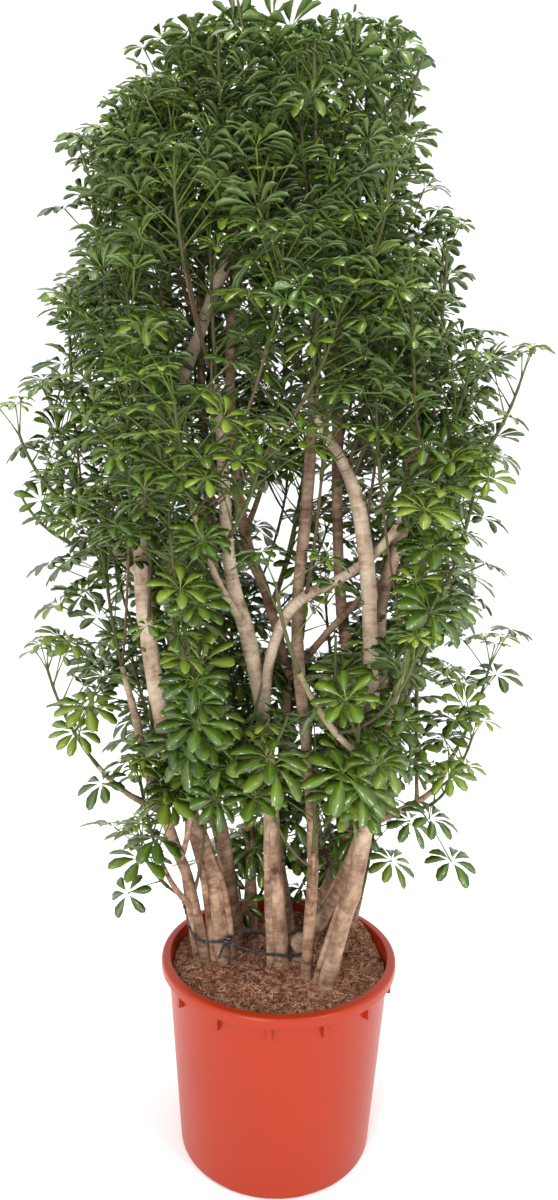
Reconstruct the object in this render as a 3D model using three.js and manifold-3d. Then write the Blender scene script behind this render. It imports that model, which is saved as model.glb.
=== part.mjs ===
// A potted umbrella plant, Schefflera arboricola, 1.84 m tall. Eleven bark-covered stems and a young sprout
// stand in coir soil in a round plastic nursery pot. The stems branch, and each branch ends in a green shoot
// that carries umbrella leaves: a petiole with leaflets spread from one hub. There are fewer than on a real plant.
// Millimetres, +Z up, front towards -Y. The origin is the centre of the pot's flat underside.
import * as THREE from "three";
import { mergeVertices } from "three/addons/utils/BufferGeometryUtils.js";
import Module from "manifold-3d";

const wasm = await Module();
wasm.setup();

// Pot
const POT_HEIGHT = 330;
const RIM_RADIUS = 200;
const WALL_TOP_RADIUS = 188;
const WALL_FOOT_RADIUS = 163.5;
const WALL = 3;
const FLOOR = 6;
const LIP_HEIGHT = 18;
const LIP_ROUND = 6;
const INNER_ROUND = 3;
const FOOT_ROUND = 4;
const POT_SIDES = 36;
const RIB_COUNT = 14;
const RIB_WIDTH = 7;
const RIB_HEIGHT = 24;
const RIB_TURN = 0.35;
const DRAIN_COUNT = 6;
const DRAIN_RADIUS = 9;
const DRAIN_CIRCLE = 102;
const FOOT_NOTCHES = 6;
const NOTCH = { width: 46, height: 3, depth: 16, turn: 0.92 };

// Soil
const SOIL_LEVEL = 300;
const SOIL_EDGE_DROP = 6;
const SOIL_GAP = 1;
const SOIL_RINGS = 5;
const SOIL_SIDES = 22;
const SOIL_CLUMPS = [
  { x: -20, y: 10, height: 9, spread: 90 },
  { x: 132, y: 96, height: 20, spread: 30 },
  { x: -60, y: -95, height: 5, spread: 34 },
  { x: 70, y: -115, height: 4, spread: 30 },
];

// Wood
const ROOT_DEPTH = 80;
const ROOT_SHARE = 0.92;
const HOLE_GAP = 0.7;
const SEAM_TOLERANCE = 0.25;
const RING_STEP = 90;
const STATIONS = 32;
const STEM_SIDES = 6;
const LIMB_SIDES = 5;
const BRANCH_SIDES = 4;
const STUMP_SIDES = 7;
const STEM_TIP_RADIUS = 4.2;
const BRANCH_TIP_RADIUS = 3.8;
const BRANCH_BASE = { share: 0.62, most: 6.5 };
const BRANCH_BEND = { out: 0.6, up: 0.35 };
const BRANCH_RISE = { least: 40, best: 170, most: 330, weight: 0.35 };
const LOWEST_BRANCH = 375;
const BRANCH_TIPS = 24;
const TIP_CHOICES = 26;
const WOOD_ROOM = 9;

// Leafy shoots
const SEAT_GAP = 0.3;
const SHOOT_LENGTH = 165;
const SHOOT_BEND = { middle: 0.5, out: 0.7, up: 0.3 };
const SHOOT_TIP_RADIUS = 2.4;
const SHOOT_SIDES = 3;
const LEAVES_A_SHOOT = 4;
const LEAF_ATTEMPTS = 14;
const GOLDEN_ANGLE = THREE.MathUtils.degToRad(137.5);

// Leaves
const PETIOLE_LENGTH = 92;
const PETIOLE_RADIUS = 2;
const TOP_PETIOLE_SHARE = 0.66;
const LEAN = { top: 0.35, side: 1.05 };
const LEAFLET_LENGTH = 60;
const LEAFLET_HALF_WIDTH = 0.175;
const WIDEST_AT = 0.6;
const BACK_LEAFLET_CUT = 0.16;
const LEAFLET_ARCH = 0.1;
const DROOP = 0.42;
const HUB_TOP = 0.8;
const HUB_UNDER = 1.8;
const NOTCH_RADIUS = 5;
const CLEARANCE = 0.8;

// Each stem from the soil up: x, y, z and radius. A limb is a strong side stem, and starts inside its stem.
const STEMS = [
  {
    name: "stem_left_outer",
    path: [[-128, 0, 312, 9], [-152, -10, 440, 9], [-184, -18, 537, 8.5], [-220, -28, 640, 7.5],
      [-240, -38, 735, 7], [-262, -48, 830, 5.5]],
  },
  {
    name: "stem_left",
    path: [[-94, -8, 312, 13], [-112, -4, 450, 13], [-146, 0, 550, 13.5], [-187, 0, 645, 14],
      [-208, 5, 745, 14], [-226, 0, 858, 14], [-240, 0, 972, 13], [-236, 10, 1093, 12],
      [-209, 20, 1222, 11], [-172, 22, 1305, 10.5], [-131, 20, 1419, 10], [-103, 15, 1490, 9],
      [-104, 8, 1556, 8], [-108, -2, 1618, 6]],
  },
  {
    name: "stem_left_rear",
    path: [[-78, 57, 312, 14], [-105, 56, 506, 13], [-145, 62, 643, 11], [-182, 68, 766, 10],
      [-200, 74, 890, 9.5], [-210, 76, 1026, 9], [-216, 72, 1194, 8.5], [-213, 64, 1328, 8],
      [-214, 50, 1460, 7], [-222, 42, 1540, 5.5]],
  },
  {
    name: "stem_rear_left",
    path: [[-58, 108, 312, 10], [-54, 114, 459, 10], [-78, 120, 628, 9.5], [-108, 126, 810, 9],
      [-132, 126, 990, 8.5], [-149, 120, 1181, 8], [-157, 108, 1320, 7.5], [-158, 104, 1440, 7.5],
      [-156, 112, 1590, 5.5]],
  },
  {
    name: "stem_front_left",
    path: [[4, -8, 312, 15], [-14, -17, 497, 13], [-24, -32, 660, 12], [-41, -44, 781, 12],
      [-62, -54, 884, 12], [-84, -62, 956, 11.5], [-96, -68, 1036, 10], [-104, -90, 1157, 8.5],
      [-112, -118, 1265, 6]],
    limbs: [
      [[-34, -40, 762, 8], [-26, -62, 850, 8.5], [-4, -62, 915, 8.5], [28, -52, 950, 8.5], [68, -26, 967, 8],
        [108, -8, 990, 8], [146, -12, 1024, 8], [178, -28, 1072, 7], [206, -60, 1132, 5.5]],
    ],
  },
  {
    name: "stem_rear_leader",
    path: [[14, 118, 312, 8], [-4, 98, 470, 9], [0, 90, 640, 9], [0, 82, 800, 9], [-36, 76, 935, 9],
      [-70, 70, 1021, 9], [-93, 66, 1150, 8.5], [-104, 64, 1300, 8], [-100, 60, 1430, 8],
      [-86, 55, 1530, 7.5], [-50, 54, 1632, 5.5]],
    limbs: [
      [[0, 82, 795, 7], [35, 64, 830, 7], [74, 52, 880, 6.5], [122, 60, 930, 6.5], [176, 76, 970, 6],
        [236, 104, 1024, 5]],
    ],
  },
  {
    name: "stem_centre",
    path: [[46, -50, 312, 9], [52, -40, 509, 9], [36, -16, 706, 9.5], [20, 0, 837, 10],
      [17, 8, 951, 10], [27, 12, 1083, 9.5], [34, 0, 1258, 8], [38, -22, 1422, 6.5],
      [34, -36, 1545, 5.5]],
  },
  {
    name: "stem_front_right",
    path: [[78, -70, 312, 14], [126, -64, 521, 13], [139, -56, 687, 13], [134, -47, 845, 13],
      [126, -44, 976, 12.5], [106, -48, 1094, 11], [76, -66, 1162, 9], [40, -94, 1216, 7],
      [16, -122, 1268, 5.5]],
  },
  {
    name: "stem_right_rear",
    path: [[54, 48, 312, 11], [106, 32, 438, 11], [152, 12, 597, 11], [162, 12, 736, 12],
      [155, 24, 921, 12], [186, 32, 1046, 11.5], [197, 36, 1153, 9.5], [209, 32, 1250, 8],
      [206, 24, 1325, 6.5], [188, 14, 1395, 5.5]],
    limbs: [[[138, 18, 545, 6], [198, 14, 576, 5.5], [258, 24, 612, 4.8], [290, 30, 672, 4.2]]],
  },
  {
    name: "stem_rear_right",
    path: [[64, 102, 312, 15], [108, 92, 454, 15], [118, 86, 607, 13], [112, 92, 804, 11],
      [92, 96, 945, 10], [80, 86, 1151, 9], [78, 66, 1346, 8], [89, 44, 1500, 7], [98, 34, 1618, 5.5]],
  },
  { name: "sprout_stem", path: [[136, 96, 312, 5.5], [141, 98, 345, 5], [148, 96, 380, 4.2]] },
];
const ROOT_STUMP = [[30, 20, 288, 17], [31, 16, 322, 18], [36, 10, 342, 13], [38, 8, 352, 8]];

// Tie: a black band knotted in front of the left stem, with a loop round the front left stem and loose ends.
const TIE_RADIUS = 2.8;
const TIE_STEP = 17;
const TIE_SIDES = 4;
const TIE_KNOT = [[-91, -29, 353, 5.5], [-88, -27, 360, 7], [-84, -27, 366, 4]];
const TIE_RUNS = [
  [[-88, -27, 358], [-57, -32, 347], [-28, -36, 341], [-2, -31, 337], [21, -22, 330], [38, -7, 326],
    [52, 4, 325]],
  [[-86, -26, 361], [-79, -10, 358], [-64, 8, 356], [-42, 16, 352], [-18, 17, 347], [2, 9.5, 342],
    [17.5, -2, 337], [22, -20, 331]],
  [[-88, -27, 358], [-99, -26, 356], [-118, -20, 351], [-135, -17.5, 352], [-150, -15, 367],
    [-158, -14, 396], [-164, -18, 420]],
  [[-88, -28, 358], [-82, -36, 342], [-84, -42, 324]],
  [[-90, -28, 358], [-96, -35, 345], [-101, -38, 332]],
];

// Crown: height, left edge and right edge of the foliage seen from the front.
const CROWN_TOP = 1840;
const CROWN_EDGES = [
  [440, -230, 190], [520, -300, 270], [620, -330, 315], [740, -385, 385], [860, -390, 430], [1000, -425, 425],
  [1150, -450, 360], [1260, -445, 370], [1360, -420, 365], [1440, -400, 290], [1530, -385, 225],
  [1640, -355, 220], [1720, -290, 215], [1790, -230, 190], [CROWN_TOP, -170, 150],
];
const CROWN_DEPTH_SHARE = 0.86;
const LEAF_INSET = 24;
const LEAF_TOP_INSET = 6;

// Branch tips: a few set by hand for the furthest leaves, the rest drawn near the crown's surface, and through
// the whole of its top.
const OUTER_TIPS = [
  [-334, -30, 1060], [-308, 20, 1225], [-266, -20, 1430], [-285, -50, 700], [-218, -50, 505], [272, -30, 1150],
];
const OUTER_SHIFT = 30;
const TIP_INSET = 118;
const TIP_HEIGHTS = [490, 1600];
const CROWN_TOP_FROM = 1480;
const TIP_DEPTH = 0.4;

// Stretches of bark that stay bare in front: left, right, lower and upper edge.
const BARE_STRETCHES = [
  [-95, -25, 720, 990], [90, 160, 760, 1080], [-30, 150, 850, 990], [-235, -150, 640, 900],
  [-220, 180, 312, 540],
];
const BARE_FRONT = -50;

const materials = {
  pot: new THREE.MeshStandardMaterial({ color: 0xd14a2c, roughness: 0.42, metalness: 0 }),
  soil: new THREE.MeshStandardMaterial({ color: 0x5d3a29, roughness: 0.95, metalness: 0 }),
  bark: new THREE.MeshStandardMaterial({ color: 0x9c7f65, roughness: 0.85, metalness: 0 }),
  tie: new THREE.MeshStandardMaterial({ color: 0x1d1c1f, roughness: 0.6, metalness: 0 }),
  leaf: new THREE.MeshStandardMaterial({ color: 0x2f5f24, roughness: 0.45, metalness: 0 }),
};

const plant = new THREE.Group();
const vec = (x, y, z) => new THREE.Vector3(x, y, z);
const UP = vec(0, 0, 1);

// A repeatable draw from 0 to 1 for a list of whole numbers.
function draw(...keys) {
  let h = 2166136261;
  for (const key of keys) {
    h = Math.imul(h ^ (key + 101), 16777619);
    h ^= h >>> 15;
  }
  h = Math.imul(h, 2246822519);
  h ^= h >>> 13;
  return (h >>> 0) / 4294967296;
}

// A draw spread evenly about a middle value, by a share of it.
const vary = (middle, share, ...keys) => middle * (1 + share * (2 * draw(...keys) - 1));

// A closed geometry as a solid, with only its positions kept and shared corners merged.
function solidOf(geometry) {
  const bare = new THREE.BufferGeometry().setAttribute("position", geometry.getAttribute("position"));
  if (geometry.index) bare.setIndex(geometry.index);
  const merged = mergeVertices(bare, 1e-3);
  return new wasm.Manifold(
    new wasm.Mesh({
      numProp: 3,
      vertProperties: new Float32Array(merged.attributes.position.array),
      triVerts: new Uint32Array(merged.index.array),
    }),
  );
}

// Adds a solid to the plant as one named mesh.
function addNode(name, solid, material) {
  const { vertProperties, triVerts } = solid.getMesh();
  const geometry = new THREE.BufferGeometry()
    .setAttribute("position", new THREE.BufferAttribute(vertProperties, 3))
    .setIndex(new THREE.BufferAttribute(triVerts, 1));
  geometry.computeVertexNormals();
  const mesh = new THREE.Mesh(geometry, material);
  mesh.name = name;
  plant.add(mesh);
}

// A tapering round bar: a closed cylinder whose rings are carried along a line. The grow value thickens it.
function bar({ curve, radiusAt, rings }, sides, grow = 0) {
  const geometry = new THREE.CylinderGeometry(1, 1, 1, sides, rings);
  const position = geometry.getAttribute("position");
  const frames = [];
  let across = null;
  for (let ring = 0; ring <= rings; ring++) {
    const centre = curve.getPoint(ring / rings);
    const tangent = curve.getTangent(ring / rings);
    across = across || (Math.abs(tangent.z) > 0.9 ? vec(1, 0, 0) : UP);
    across = across.clone().addScaledVector(tangent, -across.dot(tangent)).normalize();
    const radius = radiusAt(ring / rings) + grow;
    frames.push({ centre, across, over: tangent.clone().cross(across), radius });
  }
  for (let i = 0; i < position.count; i++) {
    const { centre, across: a, over, radius } = frames[Math.round((position.getY(i) + 0.5) * rings)];
    const p = centre
      .clone()
      .addScaledVector(a, position.getZ(i) * radius)
      .addScaledVector(over, position.getX(i) * radius);
    position.setXYZ(i, p.x, p.y, p.z);
  }
  return solidOf(geometry);
}

// A smooth line through points, each with its own radius.
function limbLine(points, step = RING_STEP) {
  const curve = new THREE.CatmullRomCurve3(points.map(([x, y, z]) => vec(x, y, z)), false, "catmullrom", 0.5);
  const last = points.length - 1;
  const radiusAt = (t) => {
    const at = Math.min(t * last, last - 1e-9);
    const [low, high] = [points[Math.floor(at)][3], points[Math.floor(at) + 1][3]];
    return THREE.MathUtils.lerp(low, high, at % 1);
  };
  return lineOf(curve, radiusAt, step);
}

// A curve with its thickness, its count of rings, the joints at those rings, where a branch may start, and
// finer stations for measuring the room between lines.
function lineOf(curve, radiusAt, step = RING_STEP) {
  const rings = Math.max(2, Math.round(curve.getLength() / step));
  const along = (count) => Array.from({ length: count + 1 }, (_, i) => ({
    centre: curve.getPoint(i / count),
    radius: radiusAt(i / count),
  }));
  return { curve, radiusAt, rings, joints: along(rings).slice(1, -1), stations: along(STATIONS) };
}

function roomBetween(line, others) {
  let room = Infinity;
  for (const b of others.flatMap(({ stations }) => stations)) {
    for (const a of line.stations) {
      room = Math.min(room, a.centre.distanceTo(b.centre) - a.radius - b.radius);
    }
  }
  return room;
}

// Pot: one moulded shell with a rolled lip, ribs under the lip, drain holes and notches round its foot.
function arc(x, z, radius, from, to, steps) {
  return Array.from({ length: steps + 1 }, (_, i) => {
    const angle = THREE.MathUtils.degToRad(from + ((to - from) * i) / steps);
    return new THREE.Vector2(x + radius * Math.cos(angle), z + radius * Math.sin(angle));
  });
}

function potSolid() {
  const lipFoot = POT_HEIGHT - LIP_HEIGHT;
  const profile = [
    new THREE.Vector2(0, 0),
    ...arc(WALL_FOOT_RADIUS - FOOT_ROUND, FOOT_ROUND, FOOT_ROUND, -90, 0, 2),
    new THREE.Vector2(WALL_TOP_RADIUS, lipFoot),
    new THREE.Vector2(RIM_RADIUS - 2, lipFoot),
    ...arc(RIM_RADIUS - LIP_ROUND, POT_HEIGHT - LIP_ROUND, LIP_ROUND, 0, 90, 2),
    ...arc(WALL_TOP_RADIUS - WALL + INNER_ROUND, POT_HEIGHT - INNER_ROUND, INNER_ROUND, 90, 180, 1),
    new THREE.Vector2(WALL_FOOT_RADIUS - WALL, FLOOR),
    new THREE.Vector2(0, FLOOR),
  ];
  let pot = solidOf(new THREE.LatheGeometry(profile, POT_SIDES).rotateX(Math.PI / 2));
  const around = (geometry, i, count) => solidOf(geometry.rotateZ((2 * Math.PI * i) / count));

  const ribFoot = lipFoot - RIB_HEIGHT;
  const ribShape = new THREE.Shape([
    new THREE.Vector2(WALL_TOP_RADIUS - 2, lipFoot + 1),
    new THREE.Vector2(WALL_TOP_RADIUS - 3.5, ribFoot),
    new THREE.Vector2(WALL_TOP_RADIUS + 2.5, ribFoot + 3),
    new THREE.Vector2(RIM_RADIUS - 4, lipFoot + 1),
  ]);
  for (let i = 0; i < RIB_COUNT; i++) {
    const rib = new THREE.ExtrudeGeometry(ribShape, { depth: RIB_WIDTH, bevelEnabled: false });
    pot = pot.add(around(rib.translate(0, 0, -RIB_WIDTH / 2).rotateX(Math.PI / 2), i + RIB_TURN, RIB_COUNT));
  }
  for (let i = 0; i < DRAIN_COUNT; i++) {
    const hole = new THREE.CylinderGeometry(DRAIN_RADIUS, DRAIN_RADIUS, 3 * FLOOR, 8).rotateX(Math.PI / 2);
    pot = pot.subtract(around(hole.translate(DRAIN_CIRCLE, 0, 0), i, DRAIN_COUNT));
  }
  for (let i = 0; i < FOOT_NOTCHES; i++) {
    const notch = new THREE.BoxGeometry(2 * NOTCH.depth, NOTCH.width, 2 * NOTCH.height);
    pot = pot.subtract(around(notch.translate(WALL_FOOT_RADIUS, 0, 0), i + NOTCH.turn, FOOT_NOTCHES));
  }
  return pot;
}

// Soil: fills the pot from its floor, with a lumpy top that is mounded round the stems and by the sprout.
function soilHeight(x, y) {
  const grain = 2.2 * Math.sin(x / 19 + 1.3) * Math.cos(y / 23) + 1.6 * Math.sin((x + y) / 12);
  return SOIL_CLUMPS.reduce(
    (z, c) => z + c.height * Math.exp(-((x - c.x) ** 2 + (y - c.y) ** 2) / (2 * c.spread ** 2)),
    SOIL_LEVEL + grain,
  );
}

function soilSolid() {
  const wallInside = (z) =>
    WALL_FOOT_RADIUS - WALL - SOIL_GAP +
    ((WALL_TOP_RADIUS - WALL_FOOT_RADIUS) * (z - FLOOR)) / (POT_HEIGHT - FLOOR);
  const edge = wallInside(SOIL_LEVEL - SOIL_EDGE_DROP);
  const positions = [0, 0, soilHeight(0, 0)];
  const faces = [];
  const at = (ring, side) => 1 + (ring - 1) * SOIL_SIDES + (side % SOIL_SIDES);
  for (let ring = 1; ring <= SOIL_RINGS + 1; ring++) {
    const isBase = ring > SOIL_RINGS;
    const radius = isBase ? wallInside(FLOOR) : (edge * ring) / SOIL_RINGS;
    for (let side = 0; side < SOIL_SIDES; side++) {
      const angle = (2 * Math.PI * side) / SOIL_SIDES;
      const [x, y] = [radius * Math.cos(angle), radius * Math.sin(angle)];
      const [inner, innerNext] = [at(ring - 1, side), at(ring - 1, side + 1)];
      const [outer, outerNext] = [at(ring, side), at(ring, side + 1)];
      positions.push(x, y, isBase ? FLOOR + SOIL_GAP / 2 : soilHeight(x, y));
      if (ring === 1) faces.push(0, outer, outerNext);
      else faces.push(inner, outer, outerNext, inner, outerNext, innerNext);
      if (isBase && side > 0 && side < SOIL_SIDES - 1) faces.push(at(ring, 0), outerNext, outer);
    }
  }
  const geometry = new THREE.BufferGeometry()
    .setAttribute("position", new THREE.Float32BufferAttribute(positions, 3))
    .setIndex(faces);
  return solidOf(geometry);
}

// Wood: the stems with their limbs, then branches from the stems out to tips spread over the crown.
function rooted([[x, y, z, radius], ...rest]) {
  const root = [x * ROOT_SHARE, y * ROOT_SHARE, z - ROOT_DEPTH, radius * ROOT_SHARE];
  return [root, [x, y, z, radius], ...rest];
}

function finished(path) {
  const [x, y, z] = path[path.length - 1];
  return [...path.slice(0, -1), [x, y, z, STEM_TIP_RADIUS]];
}

const wood = STEMS.map(({ name, path, limbs = [] }) => ({
  name,
  lines: [rooted(path), ...limbs].map((points) => limbLine(finished(points))),
  branches: [],
}));

// Middle and half-width of the crown at a height.
function crownAt(z) {
  const above = CROWN_EDGES.findIndex(([height]) => height > z);
  const k = above < 0 ? CROWN_EDGES.length - 1 : Math.max(1, above);
  const [low, high] = [CROWN_EDGES[k - 1], CROWN_EDGES[k]];
  const t = THREE.MathUtils.clamp((z - low[0]) / (high[0] - low[0]), 0, 1);
  const [left, right] = [1, 2].map((side) => THREE.MathUtils.lerp(low[side], high[side], t));
  return { middle: (left + right) / 2, half: (right - left) / 2 };
}

// Whether a leaf stays within the crown, and clear of the bare bark in front.
function belongs({ x, y, z }) {
  const { middle, half } = crownAt(z);
  const room = half - LEAF_INSET;
  const isInside = Math.hypot((x - middle) / room, y / (room * CROWN_DEPTH_SHARE)) < 1;
  const hidesBark = y < BARE_FRONT
    && BARE_STRETCHES.some(([x0, x1, z0, z1]) => x > x0 && x < x1 && z > z0 && z < z1);
  return isInside && z < CROWN_TOP - LEAF_TOP_INSET && !hidesBark;
}

// One choice of place for a branch tip: near a hand-placed outer tip, or drawn over the crown.
function crownPoint(i, choice) {
  if (i < OUTER_TIPS.length) {
    const shift = [4, 5, 6].map((key) => OUTER_SHIFT * (2 * draw(i, choice, key) - 1));
    return vec(...OUTER_TIPS[i]).add(vec(...shift));
  }
  const z = THREE.MathUtils.lerp(...TIP_HEIGHTS, draw(i, choice, 1));
  const angle = 2 * Math.PI * draw(i, choice, 2);
  const deep = draw(i, choice, 3);
  const share = z > CROWN_TOP_FROM ? Math.sqrt(deep) : 1 - TIP_DEPTH * deep * deep;
  const { middle, half } = crownAt(z);
  const reach = (half - TIP_INSET) * share;
  return vec(middle + reach * Math.cos(angle), reach * CROWN_DEPTH_SHARE * Math.sin(angle), z);
}

// The branch to a tip, from the best placed joint: one close by that lies well below the tip.
function branchTo(tip) {
  let best = null;
  for (const stem of wood) {
    for (const { centre, radius } of stem.lines.flatMap((line) => line.joints)) {
      const rise = tip.z - centre.z;
      if (rise < BRANCH_RISE.least || rise > BRANCH_RISE.most || centre.z < LOWEST_BRANCH) continue;
      const sideways = Math.hypot(tip.x - centre.x, tip.y - centre.y);
      const cost = sideways + BRANCH_RISE.weight * Math.abs(rise - BRANCH_RISE.best);
      if (!best || cost < best.cost) best = { cost, stem, centre, radius };
    }
  }
  const { stem, centre, radius } = best;
  const middle = vec(
    THREE.MathUtils.lerp(centre.x, tip.x, BRANCH_BEND.out),
    THREE.MathUtils.lerp(centre.y, tip.y, BRANCH_BEND.out),
    THREE.MathUtils.lerp(centre.z, tip.z, BRANCH_BEND.up),
  );
  const base = Math.min(radius * BRANCH_BASE.share, BRANCH_BASE.most);
  const curve = new THREE.QuadraticBezierCurve3(centre, middle, tip);
  return { stem, branch: lineOf(curve, (t) => THREE.MathUtils.lerp(base, BRANCH_TIP_RADIUS, t)) };
}

// The green shoot that carries on from the end of a stem, limb or branch, and bends upwards.
function shootFrom(line, i) {
  const [start, heading] = [line.curve.getPoint(1), line.curve.getTangent(1)];
  const length = vary(SHOOT_LENGTH, 0.15, i, 3);
  start.addScaledVector(heading, SEAT_GAP);
  const curve = new THREE.QuadraticBezierCurve3(
    start,
    start.clone().addScaledVector(heading, length * SHOOT_BEND.middle),
    start.clone().addScaledVector(heading, length * SHOOT_BEND.out).addScaledVector(UP, length * SHOOT_BEND.up),
  );
  return lineOf(curve, (t) => THREE.MathUtils.lerp(BRANCH_TIP_RADIUS, SHOOT_TIP_RADIUS, t));
}

// Of the choices for each tip, the one furthest from the other shoots whose branch and shoot have room.
const woodLines = (stems) => stems.flatMap((stem) => [...stem.lines, ...stem.branches]);
const shoots = woodLines(wood).map(shootFrom);
for (let i = 0; i < BRANCH_TIPS; i++) {
  let best = null;
  for (let choice = 0; choice < TIP_CHOICES; choice++) {
    const tip = crownPoint(i, choice);
    const spacing = Math.min(...shoots.map(({ curve }) => curve.v0.distanceTo(tip)));
    if (best && spacing <= best.spacing) continue;
    const { stem, branch } = branchTo(tip);
    const shoot = shootFrom(branch, shoots.length);
    const others = woodLines(wood.filter((other) => other !== stem));
    const isFree = (i < OUTER_TIPS.length || belongs(shoot.curve.v2))
      && roomBetween(branch, [...others, ...shoots]) > WOOD_ROOM
      && roomBetween(shoot, [...woodLines(wood), ...shoots]) > WOOD_ROOM;
    if (isFree) best = { spacing, stem, branch, shoot };
  }
  best.stem.branches.push(best.branch);
  shoots.push(best.shoot);
}

// One stem with its limbs and branches; the grow value thickens it, for the hole that it stands in.
function stemSolid({ lines, branches }, grow = 0) {
  return wasm.Manifold.union([
    ...lines.map((line, i) => bar(line, i ? LIMB_SIDES : STEM_SIDES, grow)),
    ...branches.map((line) => bar(line, BRANCH_SIDES, grow)),
  ]);
}

// One umbrella leaf as a closed solid: leaflets fanned from a hub, each folded along its rib and joined to its
// neighbours at the hub only, on a three-sided petiole whose root lies in the shoot.
function leafSolid({ root, hub, normal, ahead, leaflets, length, droop, swell = 0 }) {
  const side = normal.clone().cross(ahead).normalize();
  const place = (azimuth, radius, height) =>
    hub
      .clone()
      .addScaledVector(ahead, radius * Math.cos(azimuth))
      .addScaledVector(side, radius * Math.sin(azimuth))
      .addScaledVector(normal, height);
  const thirds = [1 / 6, 3 / 6, 5 / 6].map((share) => 2 * Math.PI * share);
  const stalkRadius = PETIOLE_RADIUS + swell;
  const points = [place(0, 0, HUB_TOP + swell)];
  const faces = [];
  const add = (p) => points.push(p) - 1;
  const stalk = thirds.map((angle) => add(place(angle, stalkRadius, -HUB_UNDER - swell)));
  const step = (2 * Math.PI) / leaflets;
  const notch = Array.from({ length: leaflets }, (_, i) => add(place((i - 0.5) * step, NOTCH_RADIUS, -0.5)));
  const holder = (i) => stalk[Math.floor((3 * (i % leaflets)) / leaflets)];
  for (let i = 0; i < leaflets; i++) {
    const azimuth = i * step;
    const reach = length * (1 - BACK_LEAFLET_CUT * Math.abs(Math.sin(azimuth / 2))) + swell;
    const half = LEAFLET_HALF_WIDTH * length + swell;
    const flare = Math.atan2(half, WIDEST_AT * reach);
    const wide = Math.hypot(half, WIDEST_AT * reach) * Math.cos(WIDEST_AT * droop);
    const height = LEAFLET_ARCH * length - WIDEST_AT * reach * Math.sin(droop);
    const low = add(place(azimuth - flare, wide, height));
    const tip = add(place(azimuth, reach * Math.cos(droop), -reach * Math.sin(droop)));
    const high = add(place(azimuth + flare, wide, height));
    const [before, after, under] = [notch[i], notch[(i + 1) % leaflets], holder(i)];
    faces.push(0, before, low, 0, low, tip, 0, tip, high, 0, high, after);
    faces.push(under, low, before, under, tip, low, under, high, tip, under, after, high);
    if (holder(i + 1) !== under) faces.push(under, holder(i + 1), after);
  }
  const along = hub.clone().sub(root).normalize();
  const flat = ahead.clone().addScaledVector(along, -ahead.dot(along)).normalize();
  const over = along.clone().cross(flat);
  const foot = thirds.map((angle) => add(
    root.clone()
      .addScaledVector(flat, stalkRadius * Math.cos(angle))
      .addScaledVector(over, stalkRadius * Math.sin(angle)),
  ));
  for (let k = 0; k < 3; k++) {
    const next = (k + 1) % 3;
    faces.push(stalk[k], foot[k], foot[next], stalk[k], foot[next], stalk[next]);
  }
  faces.push(foot[0], foot[2], foot[1]);
  const geometry = new THREE.BufferGeometry()
    .setAttribute("position", new THREE.Float32BufferAttribute(points.flatMap((p) => p.toArray()), 3))
    .setIndex(faces);
  return solidOf(geometry);
}

// The leaves stand round their shoot by the golden angle, the first one near its end. A further attempt turns a
// leaf and moves its root down the shoot.
function leafPlan(axis, shoot, k, attempt) {
  const t = k === 0 ? 0.96 : 0.88 - (0.7 * (k - 1)) / (LEAVES_A_SHOOT - 1) - 0.02 * attempt;
  const [root, tangent] = [axis.getPoint(t), axis.getTangent(t)];
  const turn = k * GOLDEN_ANGLE + 2 * Math.PI * draw(shoot, 5) + 0.45 * attempt;
  const across = vec(1, 0, 0).addScaledVector(tangent, -tangent.x).normalize();
  const out = across.clone().multiplyScalar(Math.cos(turn))
    .addScaledVector(tangent.clone().cross(across), Math.sin(turn));
  const lean = k === 0 ? LEAN.top : vary(LEAN.side, 0.16, shoot, k, attempt, 6);
  const stalk = tangent.clone().multiplyScalar(Math.cos(lean)).addScaledVector(out, Math.sin(lean))
    .addScaledVector(UP, 0.18).normalize();
  const petioleShare = k === 0 ? TOP_PETIOLE_SHARE - 0.03 * attempt : 1;
  const petiole = petioleShare * vary(PETIOLE_LENGTH, 0.22, shoot, k, attempt, 7);
  const hub = root.clone().addScaledVector(stalk, petiole);
  const normal = UP.clone().multiplyScalar(0.8).addScaledVector(stalk, 0.55).normalize();
  const ahead = stalk.clone().addScaledVector(normal, -stalk.dot(normal)).normalize();
  return {
    root,
    hub,
    normal,
    ahead,
    leaflets: draw(shoot, k, 8) < 0.4 ? 5 : 6,
    length: vary(LEAFLET_LENGTH, 0.12, shoot, k, 9),
    droop: vary(DROOP, 0.35, shoot, k, 10),
  };
}

function boxOf(solid) {
  const { min, max } = solid.boundingBox();
  return new THREE.Box3(vec(...min), vec(...max));
}

// The solids placed so far, with their boxes, for testing where a leaf is clear.
const placed = [];
function keep(solid) {
  placed.push({ solid, box: boxOf(solid) });
  return solid;
}

function isClear(solid, others) {
  const box = boxOf(solid);
  return others.every((other) => !other.box.intersectsBox(box) || other.solid.intersect(solid).isEmpty());
}

addNode("pot", keep(potSolid()), materials.pot);

let soil = soilSolid();
for (const stem of wood) {
  addNode(stem.name, keep(stemSolid(stem)), materials.bark);
  soil = soil.subtract(stemSolid(stem, HOLE_GAP).translate([0, 0, -HOLE_GAP]));
}
const stump = limbLine(ROOT_STUMP, TIE_STEP);
addNode("root_stump", keep(bar(stump, STUMP_SIDES)), materials.bark);
soil = soil.subtract(bar(stump, STUMP_SIDES, HOLE_GAP).translate([0, 0, -HOLE_GAP]));
addNode("soil", keep(soil.simplify(SEAM_TOLERANCE)), materials.soil);

const runs = TIE_RUNS.map((run) => run.map((point) => [...point, TIE_RADIUS]));
const tie = wasm.Manifold.union([...runs, TIE_KNOT].map((run) => bar(limbLine(run, TIE_STEP), TIE_SIDES)));
addNode("stem_tie", keep(tie), materials.tie);

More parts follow.
